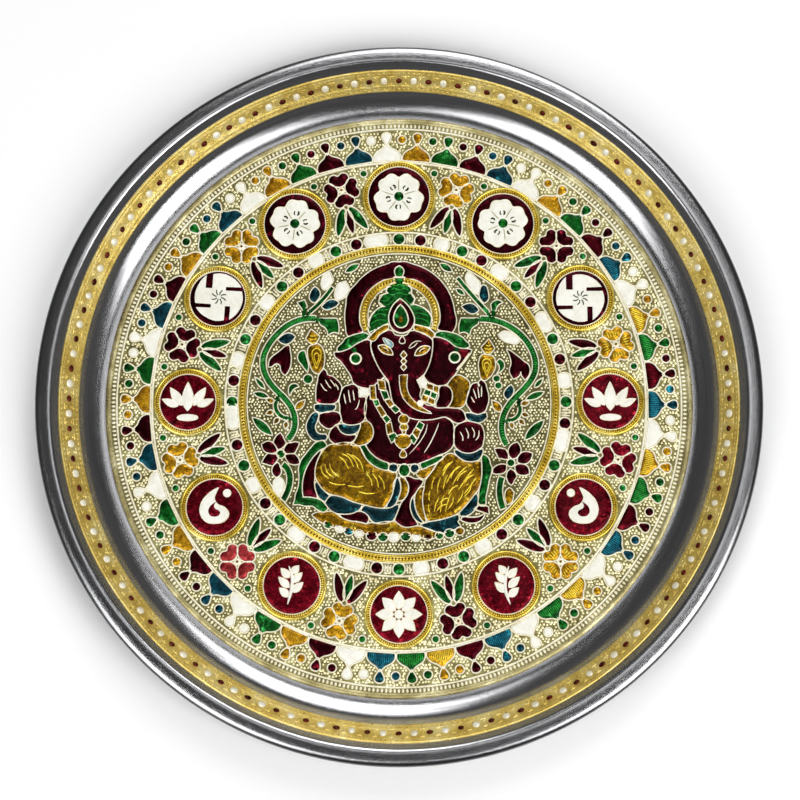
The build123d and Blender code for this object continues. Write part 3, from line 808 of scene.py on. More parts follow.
gem_spans = []
for name in [name for name in cells if name.startswith("band_gems")]:
    for loop in cells[name]:
        x, y = middle(loop)
        angle = degrees(atan2(y, x)) % 360
        half = GEM_HALF
        if colour_of(name) == "white":
            angle, half = WIDE_GEMS.get(round(angle + 0.01), (angle, WHITE_GEM_HALF))
            cell("white", name, bar_loop(GEM_RING, angle, half, GEM_HALF_HEIGHT), 0.6, 0.6)
        else:
            cell(colour_of(name), name, soften(loop, 80.0), 0.65, 0.6)
        gem_spans.append((angle, degrees(half / GEM_RING) + GEM_GAP))


# Medallions: enamel ground, rope ring and white motif

ropes = Shape()
gilt = Shape()
seams = Shape()


def inlay(colour, loop, base=MOTIF_BASE + 0.3, height=0.5, grain=0.7):
    """Fill on a motif."""
    dome(enamel_shape(colour, "motifs_" + colour), loop, base, height, 0.7, grain)


def motif(loop):
    """White fill with its outline."""
    inlay("white", loop, MOTIF_BASE, 0.45, 0.8)
    wire(fine, divide(grow(loop, 0.1), 0.8), 0.45, MOTIF_BASE, 0.35)


def mark(points, angle, centre, width, height):
    """Dark stroke on a motif."""
    rib("olive", "motif_marks", curve(turned(points, angle, centre)), width, MOTIF_BASE + 0.42, height)


def flower_motif(centre, petals, first):
    """White flower with notched petals, fine strokes and a green middle."""
    points = []
    for k in range(petals * 30):
        t = 2 * pi * k / (petals * 30)
        reach = 8.9 - 1.8 * abs(cos(petals * t / 2)) ** 7 - 0.45 * abs(sin(petals * t / 2)) ** 12
        points.append(polar(reach, t))
    motif(turned(points, first, centre))
    for k in range(petals):
        seam = turned([(1.8, 0.0), (3.6, 0.12), (6.6, 0.0)], first + 360 * k / petals, centre)
        wire(seams, curve(seam), 0.4, MOTIF_BASE + 0.4, 0.14, False, True)
        for side, width in ((-0.7, 0.8), (0.4, 0.55)):
            points = [(3.0, side * 0.6), (3.8, side * 1.5), (4.8, side)]
            mark(points, first + 360 * (k + 0.5) / petals, centre, width, 0.14)
    inlay("green", ellipse(centre, 1.7), grain=0.6)


SIGN = [
    (-2.7, 3.1), (-2.7, 8.3), (0.4, 8.7), (3.6, 7.8), (7.7, 4.1), (2.2, 3.9),
    (2.2, 2.6), (8.0, 2.6), (8.6, -0.4), (7.7, -4.0), (4.3, -8.0), (4.3, -3.1),
    (2.4, -3.1), (2.4, -8.3), (-0.6, -8.7), (-3.8, -7.7), (-8.0, -4.2), (-2.7, -4.0),
    (-2.7, -2.7), (-8.3, -2.7), (-8.7, 0.4), (-7.8, 3.9), (-5.1, 7.8), (-5.1, 3.1),
]


def rounded_rim(loop, least=7.4):
    """Outline whose outer stretches follow a circle."""
    points = []
    for a, b in zip(loop, loop[1:] + loop[:1]):
        points.append(a)
        if hypot(*a) > least and hypot(*b) > least:
            start = atan2(a[1], a[0])
            turn = (atan2(b[1], b[0]) - start + pi) % (2 * pi) - pi
            for share in (0.2, 0.4, 0.6, 0.8):
                points.append(polar(hypot(*a) + (hypot(*b) - hypot(*a)) * share, start + turn * share))
    return points


def sign_motif(centre, lean):
    """Traditional sign: four white arms between four slots, which turn one way."""
    inlay("white", turned(rounded_rim(SIGN[::-1]), lean, centre), MOTIF_BASE, 0.5, 0.8)
    for k in range(8):
        mark([(0.5, 0.0), (1.7, 0.35), (3.1, -0.1)], lean + 20 + 360 * k / 8, centre, 0.55, 0.18)


def leaf_loop(base, tip, width, count=8):
    """Pointed leaf as a smooth outline."""
    length = distance(base, tip)
    angle = degrees(atan2(tip[1] - base[1], tip[0] - base[0]))
    upper = [(length * k / count, width / 2 * sin(pi * (k / count) ** 0.8)) for k in range(count + 1)]
    lower = [(x, -y) for x, y in upper[1:-1]]
    return turned(lower + upper[::-1], angle, base)


def motif_leaf(start, angle, inset, length, width):
    """White leaf whose base lies a little way from its start."""
    motif(leaf_loop(spot(inset, angle, start), spot(length, angle, start), width))


UPRIGHT = 90  # the motifs are drawn along x and turned so that they stand


# Lean, length and width of the leaves of a lotus
LOTUS_LEAVES = ((0, 10.6, 4.6), (34, 9.6, 3.6), (-34, 9.6, 3.6), (66, 8.0, 2.8), (-66, 8.0, 2.8))


def lotus_motif(centre):
    for lean, length, width in LOTUS_LEAVES:
        start = spot(-3.6 + abs(lean) / 50, UPRIGHT, centre, lean / 40)
        motif_leaf(start, UPRIGHT + lean, 2.2 if lean else 0.6, length, width * 0.8)
    motif(turned(ellipse((-5.6, 0), 1.0, 3.6), UPRIGHT, centre))


PAISLEY = [
    (-5.6, -0.6), (-5.0, 2.8), (-2.0, 4.9), (1.8, 4.4), (4.6, 2.2), (6.8, -1.2), (5.2, -0.4), (3.2, 0.2),
    (1.0, -1.0), (-0.2, -3.6), (-2.2, -5.0), (-4.6, -3.8),
]


def paisley_motif(centre, side):
    loop = anticlockwise(soften([(x, y * side) for x, y in PAISLEY], 100))
    motif(turned(loop, UPRIGHT, centre))
    inner = anticlockwise([(x * 0.42 - 1.0, y * 0.42 * side) for x, y in PAISLEY])
    inlay("red", turned(soften(inner, 100), UPRIGHT, centre), height=0.45)
    motif(turned(ellipse((5.0, -4.4 * side), 1.2), UPRIGHT, centre))


# Place along the stem, lean and length of the leaves of a sprig
SPRIG_LEAVES = (
    (-4.4, 48, 5.2), (-1.2, 46, 5.8), (2.2, 42, 5.0), (-2.8, -48, 5.6), (0.6, -46, 5.4), (3.6, -40, 4.2),
)


def sprig_motif(centre, side):
    stem = [(-6.6, 1.4 * side), (-2.0, 0.2), (2.4, -0.2 * side), (6.8, 1.0 * side)]
    rib("white", "motifs_white", curve(turned(stem, UPRIGHT, centre)), 1.2, MOTIF_BASE, 0.6)
    for at, lean, length in SPRIG_LEAVES:
        motif_leaf(spot(at, UPRIGHT, centre, 0.35 * side), UPRIGHT + lean * side, 0.9, length, 2.3)


def rosette_motif(centre):
    for k in range(8):
        motif_leaf(centre, UPRIGHT + 45 * k, 1.9, 7.9, 3.5)
    motif(ellipse(centre, 1.3))


MEDALLION_RIBS = 84
FLOWER_ANGLES = (60, 90, 120)  # these medallions are larger
grounds = Shape()
grounds_low = Shape()
for angle in range(0, 360, 30):
    centre = polar(MEDALLION_RING, radians(angle))
    lower = angle == 0 or angle >= 180
    size = LARGE_MEDALLION_RADIUS if angle in FLOWER_ANGLES else MEDALLION_RADIUS
    rope = size + 0.75
    dome(grounds_low if lower else grounds, ellipse(centre, size, count=64), FOIL_TOP, 0.4, 0.6, 1.3)
    ring(ropes, centre, rope, 1.2, 0.75, MEDALLION_RIBS)
    ring(gilt, centre, size + 1.8, 0.95, 0.85)
    ring(fine, centre, size + 0.15, 0.4, 0.6)
    groove_shade_lines(centre, rope, 0.8, FOIL_TOP + 0.2, MEDALLION_RIBS)
    blocked.append((ellipse(centre, size + 2.3), 0.4))
    if angle in FLOWER_ANGLES:
        flower_motif(centre, 5, angle)
    elif angle == 30:
        sign_motif(centre, 0)
    elif angle == 150:
        sign_motif((centre[0] + 0.5, centre[1] + 0.5), -4)
    elif angle in (0, 180):
        lotus_motif(centre)
    elif angle in (210, 330):
        paisley_motif(centre, 1 if angle == 210 else -1)
    elif angle in (240, 300):
        sprig_motif(centre, 1 if angle == 240 else -1)
    else:
        rosette_motif(centre)
grounds.piece("medallion_grounds_upper", "maroon", "enamel_maroon", ["medallion_grounds"])
grounds_low.piece("medallion_grounds_lower", "red", "enamel_maroon", ["medallion_grounds"])


# Sprays between the medallions

def blade(line, width):
    """Curved leaf, pointed at both ends, along a line."""
    line = curve(line)
    size = len(line) - 1
    left = []
    right = []
    for i in range(1, size):
        before, here, after = line[i - 1:i + 2]
        along = (after[0] - before[0], after[1] - before[1])
        half = width / 2 * sin(pi * (i / size) ** 0.9) ** 0.8
        left.append(beside(here, along, half))
        right.append(beside(here, along, -half))
    return anticlockwise([line[0], *right, line[-1], *left[::-1]])


# Brighter lacquers that ribs get as a painted highlight on the lit side of the disc
LIT_SIDE_RIBS = {"maroon": "red", "green": "leaf", "azure": "teal", "honey": "yellow"}


def paint_of(colour):
    """Lacquer of the border and the sprays: their amber and blue are paler than the figure's."""
    return {"amber": "honey", "blue": "azure"}.get(colour, colour)


def lit_side_paint_of(paint, angle):
    """Lacquer of the ribs, with a painted highlight: on the side of the disc whose foil throws the light
    back, they get a brighter lacquer.
    """
    return LIT_SIDE_RIBS.get(paint, paint) if cos(radians(angle + 25)) > 0.35 else paint


SPRAY_PETAL = [
    (1.55, 0.0), (1.75, -1.0), (2.5, -2.3), (4.0, -3.5), (5.5, -3.1), (6.1, -1.6), (5.3, 0.0),
    (6.1, 1.6), (5.5, 3.1), (4.0, 3.5), (2.5, 2.3), (1.75, 1.0),
]
# Two maroon spray flowers get lighter lacquer: red at 345 degrees as a painted highlight on the lit side of
# the disc, and rose at 225
LIGHTER_FLOWERS = {225: "rose", 345: "red"}
SPRAY_RING = 80.2
SPRAY_DOT_RING = 84.7
SPRAY_DOT_ANGLE = 6.3
for k in range(12):
    angle = 15 + 30 * k
    colour, outer_leaf, inner_leaf = ("maroon", "green", "maroon") if k % 2 else ("amber", "maroon", "green")
    place = spot(SPRAY_RING, angle)
    paint = LIGHTER_FLOWERS.get(angle, paint_of(colour))
    # rib lacquer, brighter on the lit side as a painted highlight
    lit_side_paint = lit_side_paint_of(paint, angle)
    flower = "spray_flowers_" + colour + ("_" + paint if angle in LIGHTER_FLOWERS else "")
    for turn in range(angle, angle + 360, 90):
        cell(paint, flower, turned(soften(SPRAY_PETAL, 75), turn, place))
        for row in (-2, -1, 0, 1, 2):
            line = turned([(2.4 + abs(row) * 0.2, row * 0.8), (4.9, row * 1.1)], turn, place)
            rib(lit_side_paint, "spray_ribs_" + lit_side_paint, divide(line, 0.8, False), 0.42, FOIL_TOP + 0.46, 0.22)
    bead(wires, place, 1.35, FOIL_TOP, 0.75, 14)
    bead(enamel_shape("amber", "jewels_amber"), place, 0.5, FOIL_TOP + 0.66, 0.3)
    blocked.append((ellipse(place, 2.0), 0.3))
    for side in (-1, 0, 1):
        line = [(72.4, 0.0), (68.2, 0.0), (63.8, 0.0)]
        if side:
            line = [(73.4, side * 1.1), (69.2, side * 3.1), (64.2, side * 5.5)]
        leaf = outer_leaf if side else inner_leaf
        cell(leaf, "spray_leaves_" + leaf, blade(turned(line, angle), 3.0 if side else 2.5), line=0.6)
    for side in (-1, 1):
        dot = spot(SPRAY_DOT_RING, angle + side * SPRAY_DOT_ANGLE)
        cell("green", "small_dots_green", ellipse(dot, 1.1, count=12), 0.5)


# Border: petals, drops and dots, rings and bead rows

PETAL_RUNS = (
    (4, "maroon green amber white blue"), (3, "green amber maroon blue white"),
    (1, "green amber maroon white blue"), (1, "green amber maroon blue white"),
    (1, "green amber white blue maroon"), (1, "green amber white blue"),
)
PETAL_ORDER = [colour for repeats, run in PETAL_RUNS for colour in run.split() * repeats]
PETAL_PITCH = 360 / len(PETAL_ORDER)
PETAL_SIDE = [(0.2, 4.65), (1.7, 4.7), (2.9, 4.1), (3.9, 2.9), (4.7, 1.5), (5.8, 0.5)]
PETAL = [(u, -v) for u, v in PETAL_SIDE] + [(6.3, 0.0)] + PETAL_SIDE[::-1]
FIRST_PETAL = 6.0
DROP_RING = 96.8
DOT_RING = 96.5
RIB_START = 88.9
RIB_END = 93.0
RIB_PITCH = 0.66
for k, colour in enumerate(PETAL_ORDER):
    angle = FIRST_PETAL + k * PETAL_PITCH
    paint = paint_of(colour)
    drops = "border_drops_" + colour
    petal = turned([(PETAL_BASE + u, v) for u, v in PETAL], angle)
    cell(paint, "border_petals_" + colour, soften(petal), line=0.55)
    cell(paint, drops, drop(spot(DROP_RING, angle), 4.2, 3.1, angle + 180), line=0.55)
    cell(paint, drops, ellipse(spot(DOT_RING, angle + PETAL_PITCH / 2), 1.35, count=14), 0.5, 0.55)
    if colour != "white":
        # rib lacquer, brighter on the lit side as a painted highlight
        lit_side_paint = lit_side_paint_of(paint, angle)
        for row in range(-6, 7):
            across = row * RIB_PITCH
            top = RIB_END - 2.2 * (abs(across) / 4.4) ** 2
            line = divide(turned([(RIB_START, across), (top, across)], angle), 0.9, False)
            rib(lit_side_paint, "border_ribs_" + lit_side_paint, line, 0.4, FOIL_TOP + 0.48, 0.2)

ORIGIN = (0.0, 0.0)
# Radius, width and height of the plain rings
FOIL_RINGS = ((87.8, 0.8, 0.5), (61.9, 0.7, 0.5), (100.4, 0.7, 0.45), (57.3, 0.5, 0.45), (54.0, 0.5, 0.4))
BEAD_RING = 101.6
BORDER_BEADS = 432
BAR_GROUPS = 48  # groups of three bars between the gems
BAR_HALF = 1.5
rings = Shape()
for radius, width, height in FOIL_RINGS:
    ring(rings, ORIGIN, radius, width, height)
for k in range(BORDER_BEADS):
    angle = 2 * pi * k / BORDER_BEADS
    bead(rings, polar(BEAD_RING, angle), 0.47, FOIL_TOP, 0.45, 8, 1.6, angle)
for k in range(BAR_GROUPS):
    for side in (-1, 0, 1):
        angle = 360 / BAR_GROUPS * (k + 0.5) + side * 0.95
        if all(abs((angle - at + 180) % 360 - 180) > span for at, span in gem_spans):
            bar = turned([(GEM_RING - BAR_HALF, 0.0), (GEM_RING + BAR_HALF, 0.0)], angle)
            wire(rings, bar, 0.5, FOIL_TOP, 0.45, False)
rings.piece("foil_lines", "wire", "gold_foil")
FIELD_RIBS = 300
ring(ropes, ORIGIN, ROPE_RADIUS, 1.5, 1.0, FIELD_RIBS)
for side in (-1.0, 1.0):
    ring(gilt, ORIGIN, ROPE_RADIUS + side, 0.6, 0.8)
groove_shade_lines(ORIGIN, ROPE_RADIUS, 1.1, FOIL_TOP + 0.35, FIELD_RIBS)
HALO = (0.3, 31.0)
HALO_RADIUS = 13.0
HALO_RIBS = 21
for first, sweep in ((-22.0, 107.0), (96.0, 107.0)):
    ring(ropes, HALO, HALO_RADIUS, 1.5, 0.7, HALO_RIBS, first, sweep)
    ring(ropes, HALO, HALO_RADIUS + 1.0, 0.55, 0.6, 0, first, sweep)
    groove_shade_lines(HALO, HALO_RADIUS, 1.2, FOIL_TOP + 0.2, HALO_RIBS, first, sweep)
    ring(ropes, HALO, HALO_RADIUS - 1.0, 0.55, 0.6, 0, first, sweep)
    ring(wires, HALO, HALO_RADIUS - 1.6, 0.45, 0.5, 0, first, sweep)
ropes.piece("rope_rings", "rope", "gold_foil")
gilt.piece("rope_edges", "gilt", "gold_foil")
halo_rope = [polar(14.4, radians(turn), HALO) for turn in range(-24, 205, 6)]
halo_rope += [polar(11.1, radians(turn), HALO) for turn in range(204, -25, -6)]
blocked.append((halo_rope, 0.1))

LIP_RING = 103.4
lip = Shape()
ring(lip, ORIGIN, LIP_RING, 2.2, 0.5, base=FOIL_TOP - 0.2)
lip.piece("foil_lip", "lip", "gold_foil")


# Figure: features and jewels laid on the fills

def jewel(colour, loop, base=ON_ENAMEL, height=0.4, line=0.42):
    dome(enamel_shape(colour, "jewels_" + colour), loop, base, height, 0.7, 0.7)
    if line:
        wire(fine, divide(grow(loop, 0.16), 0.7), line, base, 0.3)


def stroke(points, width, base=ON_ENAMEL, height=0.3):
    wire(fine, curve(points), width, base, height, False, True)


EYE = [(-2.9, 0.2), (-1.4, 1.25), (0.4, 1.3), (2.9, -0.5), (0.8, -1.15), (-1.2, -1.0)]
for place, lean, flip in (((-4.7, 18.7), -24, 1), ((8.3, 18.4), 22, -1)):
    eye = anticlockwise(turned([(x * flip, y) for x, y in EYE], lean, place))
    jewel("amber", soften(eye, 80), line=0.5)
    glance = turned([(-1.6 * flip, 0.3), (0.0, 0.5), (1.4 * flip, -0.2)], lean, place)
    stroke(glance, 0.35, ON_ENAMEL + 0.3, 0.2)
    bead(enamel_shape("maroon", "jewels_maroon"), place, 0.42, ON_ENAMEL + 0.35, 0.3, 10)
BROW = [(-5.6, 22.9), (-4.4, 22.6), (-2.2, 20.3), (-2.6, 19.8), (-4.8, 21.2)]
jewel("sky", soften(anticlockwise(BROW), 100), height=0.3, line=0.3)
stroke([(3.4, 19.2), (4.4, 20.8), (6.2, 21.9), (8.4, 21.8)], 0.4)
stroke([(3.4, 19.2), (5.2, 19.9), (6.9, 21.6)], 0.4)
wire(fine, drop((1.2, 22.5), 3.0, 2.2, 90), 0.4, ON_ENAMEL, 0.3)
CROWN_BODY = [
    (-10.5, 25.4), (-4.6, 28.0), (5.6, 28.0), (11.4, 27.0), (11.5, 30.4), (9.6, 33.2), (6.8, 34.8),
    (4.8, 35.4), (5.4, 37.4), (4.4, 39.0), (4.3, 40.8), (2.8, 42.6), (1.8, 43.2), (1.8, 45.2), (-1.6, 45.2),
    (-1.7, 43.2), (-2.7, 42.6), (-4.2, 40.8), (-4.2, 39.3), (-6.6, 38.5), (-7.0, 36.4), (-5.2, 34.8),
    (-7.4, 33.6), (-9.4, 31.8), (-10.6, 29.2),
]
cell("green", "crown_body", soften(CROWN_BODY, 40.0), height=0.66)
CROWN_LINES = [
    [(-10.2, 28.0), (-7.6, 29.6), (-4.4, 29.4)], [(-10.0, 30.4), (-7.2, 31.8), (-4.0, 31.4)],
    [(-8.4, 32.8), (-6.0, 33.4), (-3.4, 33.2)], [(5.4, 30.2), (8.4, 30.0), (11.2, 28.4)],
    [(5.2, 32.0), (8.0, 32.0), (10.8, 30.8)], [(4.8, 33.8), (7.0, 34.0), (9.0, 33.4)],
    [(-5.2, 34.9), (-3.2, 35.6), (-1.4, 37.8)], [(4.8, 35.5), (3.4, 36.0), (2.0, 37.8)],
    [(-6.6, 36.8), (-4.6, 36.6), (-3.0, 38.2)],
    [(-4.2, 39.3), (-2.0, 38.9), (0.2, 39.5), (2.4, 38.9), (4.4, 39.1)],
    [(-2.7, 42.5), (-1.2, 42.1), (0.2, 42.6), (1.6, 42.1), (2.8, 42.5)],
    [(-3.2, 40.4), (-1.6, 41.2), (0.2, 40.6), (2.0, 41.2), (3.4, 40.4)],
    [(-1.7, 43.9), (0.1, 44.3), (1.8, 43.9)],
]
# Raised lines on the crown in a lighter green: on the rims of its tiers the lighter green is a painted
# highlight
for tier in CROWN_LINES:
    rib("leaf", "crown_lines", curve(tier), 0.36, FOIL_TOP + 0.62, 0.18)
CROWN_BANDS = [
    [(-10.7, 22.7), (-9.3, 22.1), (-6.6, 24.9), (-4.0, 26.4), (-4.0, 28.2), (-6.8, 26.9), (-9.2, 25.0)],
    [(5.6, 27.9), (5.8, 26.2), (8.8, 25.1), (11.7, 22.9), (12.9, 24.2), (10.9, 26.1), (8.4, 27.3)],
]
for band_loop in CROWN_BANDS:
    jewel("amber", soften(anticlockwise(band_loop), 75), FOIL_TOP + 0.2, 0.55, 0.36)
for feather in ([(-5.4, 22.6), (-3.0, 20.9)], [(-4.9, 22.5), (-2.7, 20.5)], [(-4.6, 21.6), (-3.2, 20.3)]):
    stroke(feather, 0.3, ON_ENAMEL + 0.25, 0.15)
stroke([(25.5, 18.4), (23.0, 14.5), (19.8, 10.9)], 0.9, FOIL_TOP, 0.62)
jewel("red", soften([(25.0, 18.3), (23.8, 16.4), (22.2, 16.4), (21.0, 18.7)][::-1], 75), height=0.25, line=0)
for y, size in ((16.9, 1.5), (14.6, 1.3), (12.5, 1.3)):
    diamond = [(1.7 - size * 0.8, y), (1.7, y - size), (1.7 + size * 0.8, y), (1.7, y + size)]
    wire(fine, divide(diamond, 0.6), 0.5, ON_ENAMEL, 0.32)
    jewel("amber", [mix((1.7, y), p, 0.6) for p in diamond], height=0.3, line=0)

trunk_edge = curve([(0.3, 9.4), (0.5, 5.4), (1.6, 1.6), (4.4, -1.6), (8.0, -3.4), (11.4, -4.1)])
trunk_back = curve([(2.9, 9.6), (2.7, 5.6), (3.6, 2.4), (6.0, -0.4), (8.8, -2.5), (11.4, -4.0)])
jewel("amber", thin(anticlockwise([*trunk_edge, *trunk_back[::-1]])), height=0.35)
for edge, back in list(zip(trunk_edge, trunk_back))[:-6]:
    rib("brown", "trunk_ribs", divide([edge, mix(edge, back, 0.5)], 0.5, False), 0.3, ON_ENAMEL + 0.24, 0.16)

for place, bud in (((-15.4, 15.6), (-16.0, 18.7)), ((19.9, 16.0), (20.6, 18.8))):
    jewel("green", ellipse(place, 1.6))
    ring(fine, place, 2.05, 0.42, 0.35, base=ON_ENAMEL)
    jewel("green", ellipse(bud, 1.0, 0.9, count=12), line=0)

CREST = [
    (0.4, 37.2), (-2.9, 33.2), (-3.4, 29.2), (-1.6, 26.0), (1.0, 25.1), (3.6, 26.0), (5.4, 29.2),
    (4.2, 33.2),
]
crest = soften(CREST, 75)
dome(enamel_shape("maroon", "jewels_maroon"), crest, FOIL_TOP + 0.3, 0.7, 0.8, 0.7)
wire(fine, divide(grow(crest, 0.2), 0.7), 0.6, FOIL_TOP + 0.3, 0.6)
CREST_MIDDLE = [
    (0.5, 35.0), (-1.5, 31.6), (-1.6, 29.0), (-0.6, 27.4), (0.8, 26.9), (2.2, 27.4), (3.1, 29.0),
    (2.8, 31.6),
]
jewel("green", soften(CREST_MIDDLE, 75), FOIL_TOP + 0.85, 0.35, 0.6)
jewel("amber", drop((0.65, 30.2), 3.4, 2.0, 90), FOIL_TOP + 1.05, 0.3, 0)
blocked.append((crest, 0.6))

GARLAND = [
    ("amber", [(-10.2, 5.6), (-10.0, 1.0), (-8.2, 0.8), (-8.6, 5.8)]),
    ("green", [(-9.0, 0.4), (-8.2, -1.6), (-6.9, -1.0), (-7.6, 0.8)]),
    ("amber", [(-7.9, -2.0), (-6.0, -5.4), (-4.7, -4.4), (-6.6, -1.4)]),
    ("green", [(-5.6, -5.8), (-4.4, -7.6), (-3.1, -6.4), (-4.4, -4.9)]),
    ("amber", [(-4.5, -8.2), (-4.0, -11.6), (-2.2, -11.0), (-2.9, -7.4)]),
    ("green", [(-3.7, -12.2), (-2.6, -14.6), (-0.5, -12.6), (-1.6, -11.2)]),
    ("green", [(3.6, -12.6), (5.3, -15.0), (6.2, -13.6), (4.7, -11.6)]),
    ("amber", [(4.9, -11.2), (6.6, -13.0), (7.6, -10.6), (6.0, -9.4)]),
    ("green", [(6.2, -9.0), (7.9, -10.2), (8.8, -8.2), (7.2, -7.2)]),
    ("amber", [(-7.4, 7.8), (-6.9, 4.6), (-4.8, 4.2), (-5.2, 7.4)]),
    ("green", [(-6.4, 3.9), (-5.2, 0.8), (-3.6, 1.4), (-4.4, 3.8)]),
    ("amber", [(-4.8, 0.4), (-3.2, -1.9), (-1.9, -0.9), (-3.2, 0.9)]),
    ("green", [(-2.7, -2.3), (-1.2, -4.0), (0.2, -2.9), (-1.4, -1.3)]),
    ("amber", [(10.2, 7.0), (12.2, 6.3), (12.0, 4.2), (9.7, 5.0)]),
    ("amber", [(12.6, 6.1), (14.0, 5.4), (13.9, 3.2), (12.4, 4.0)]),
    ("green", [(9.5, 4.5), (11.3, 3.8), (10.9, 2.2), (8.9, 2.9)]),
    ("green", [(11.7, 3.6), (13.4, 2.8), (12.9, 1.1), (11.3, 1.9)]),
    ("amber", [(8.5, 2.5), (10.4, 1.8), (9.9, 0.0), (8.1, 0.7)]),
    ("amber", [(10.8, 1.6), (12.6, 0.8), (12.5, -0.9), (10.4, -0.2)]),
]
for colour, loop in GARLAND:
    x, y = middle(loop)
    above = y > -1 and x > 7
    loop = soften(divide(anticlockwise(loop), 1.2), 50)
    jewel(colour, loop, FOIL_TOP + 0.1 if above else ON_ENAMEL, 0.5 if above else 0.38)
PENDANTS = [
    soften([(-1.5, -13.0), (-0.6, -15.6), (1.5, -16.8), (3.6, -15.6), (4.4, -13.0), (1.5, -11.8)], 70),
    drop((1.5, -18.5), 2.8, 2.2, 90), ellipse((1.7, -6.3), 1.7, 1.6), ellipse((1.8, -9.1), 1.3, 1.2),
    drop((1.8, -11.0), 1.8, 1.2, -90),
]
for loop in PENDANTS:
    jewel("amber", anticlockwise(loop))
jewel("white", ellipse((7.6, -0.6), 0.9, count=12))
blocked.append((soften([(7.6, 6.4), (8.0, -0.6), (13.4, -1.2), (15.0, 5.2), (10.0, 7.4)]), 0.2))
stroke([(14.4, -7.2), (13.0, -10.8), (11.0, -15.0), (8.6, -18.8)], 0.5)
stroke([(10.2, -7.6), (9.4, -11.0), (6.8, -15.2), (3.0, -19.4)], 0.4)

FINGERS = [
    [(-28.0, 6.8), (-26.6, 4.6), (-25.4, 3.8)], [(-26.4, 8.2), (-25.0, 5.8), (-24.0, 4.8)],
    [(-24.6, 8.2), (-23.2, 6.4), (-22.6, 5.4)], [(-22.8, 6.8), (-21.8, 5.2), (-21.6, 4.2)],
    [(-19.6, 3.0), (-19.2, 0.8), (-18.8, -0.8)], [(-18.0, 4.6), (-17.6, 1.6), (-17.2, -0.4)],
    [(-16.4, 4.4), (-16.0, 1.8), (-15.8, 0.4)], [(-14.0, 0.8), (-14.6, -1.6), (-15.6, -3.0)],
    [(26.4, 4.8), (27.2, 2.2), (27.6, 1.0)], [(28.0, 5.4), (28.4, 2.6), (28.5, 1.2)],
    [(29.4, 5.8), (29.4, 3.0), (29.3, 1.6)], [(25.6, 2.0), (26.4, 0.4), (27.0, -0.4)],
    [(21.6, -10.6), (22.6, -12.6), (22.6, -14.2)], [(23.6, -9.2), (24.6, -11.6), (24.4, -13.4)],
    [(25.8, -9.0), (26.8, -11.2), (26.4, -13.0)], [(28.4, -10.0), (28.2, -12.4), (27.0, -14.0)],
]
for finger in FINGERS:
    stroke(finger, 0.5)

# Raised fold lines on the legs in bright yellow lacquer; the bright yellow is a painted highlight along the
# folds
FOLD_HIGHLIGHTS = [
    [(-27.6, -22.4), (-27.0, -25.4), (-24.2, -27.8)], [(-26.2, -21.8), (-25.4, -25.0), (-22.6, -27.4)],
    [(-24.6, -21.6), (-23.8, -24.4), (-20.8, -27.2)], [(-25.2, -28.4), (-21.8, -29.6), (-18.6, -29.4)],
    [(-20.6, -18.4), (-17.6, -20.0), (-15.8, -23.8)], [(-18.8, -18.2), (-15.8, -20.4), (-14.0, -24.6)],
    [(-17.2, -18.6), (-13.8, -21.2), (-12.4, -25.4)], [(-21.6, -19.4), (-19.4, -21.0), (-17.6, -24.4)],
    [(-18.4, -29.8), (-15.0, -30.4), (-12.0, -30.0)], [(-11.8, -25.2), (-10.0, -27.6), (-9.4, -30.2)],
    [(-9.6, -25.4), (-7.8, -27.8), (-7.2, -31.0)], [(-7.4, -26.0), (-5.6, -28.4), (-5.0, -31.6)],
    [(-14.6, -32.0), (-11.0, -32.8), (-8.2, -32.6)], [(11.6, -31.4), (11.8, -29.0), (12.8, -26.6)],
    [(13.6, -32.6), (13.8, -29.6), (14.8, -26.8)], [(15.6, -31.6), (16.2, -28.4), (17.4, -25.8)],
    [(15.4, -25.0), (16.8, -22.8), (18.6, -21.6)], [(18.2, -27.8), (19.4, -24.8), (22.2, -22.8)],
    [(20.4, -28.6), (21.8, -26.0), (24.4, -24.4)], [(23.0, -29.4), (24.6, -27.0), (26.8, -26.0)],
    [(17.2, -33.4), (18.8, -31.0), (21.2, -29.6)], [(13.2, -39.2), (14.8, -37.2), (17.4, -36.4)],
    [(14.0, -36.4), (15.8, -34.8), (17.6, -34.4)], [(17.0, -38.6), (18.8, -36.2), (19.2, -33.8)],
    [(20.2, -36.4), (22.2, -33.6), (22.6, -31.4)], [(10.8, -35.6), (10.6, -33.2), (11.2, -31.6)],
    [(22.8, -34.2), (24.8, -31.8), (25.6, -29.6)], [(10.8, -39.6), (10.4, -37.6), (10.6, -36.4)],
    [(19.4, -21.0), (17.0, -23.4), (15.2, -27.0)], [(21.6, -22.6), (18.6, -25.6), (16.6, -29.6)],
    [(24.4, -22.8), (21.2, -25.8), (18.6, -30.2)], [(26.8, -23.6), (23.8, -27.2), (20.6, -32.0)],
    [(27.6, -26.6), (25.2, -30.0), (22.6, -33.4)], [(14.2, -34.0), (13.0, -36.4), (12.4, -39.6)],
    [(16.0, -33.0), (15.0, -36.0), (14.6, -40.0)], [(18.4, -32.6), (17.0, -36.2), (16.4, -39.6)],
]
fold_highlights = Shape()
for fold in FOLD_HIGHLIGHTS:
    wire(fold_highlights, curve(fold), 0.55, ON_ENAMEL, 0.26, False, True)
fold_highlights.piece("leg_fold_highlights", "yellow", "enamel_amber")

SEAT_GEMS = [
    ("blue", (-2.0, -23.6), 1.5, 1.5), ("green", (1.9, -24.4), 1.8, 2.1), ("blue", (5.6, -23.8), 1.4, 1.5),
]
for colour, place, rx, ry in SEAT_GEMS:
    jewel(colour, ellipse(place, rx, ry), FOIL_TOP + 0.1, 0.6, 0.55)
    blocked.append((ellipse(place, rx, ry), 0.7))

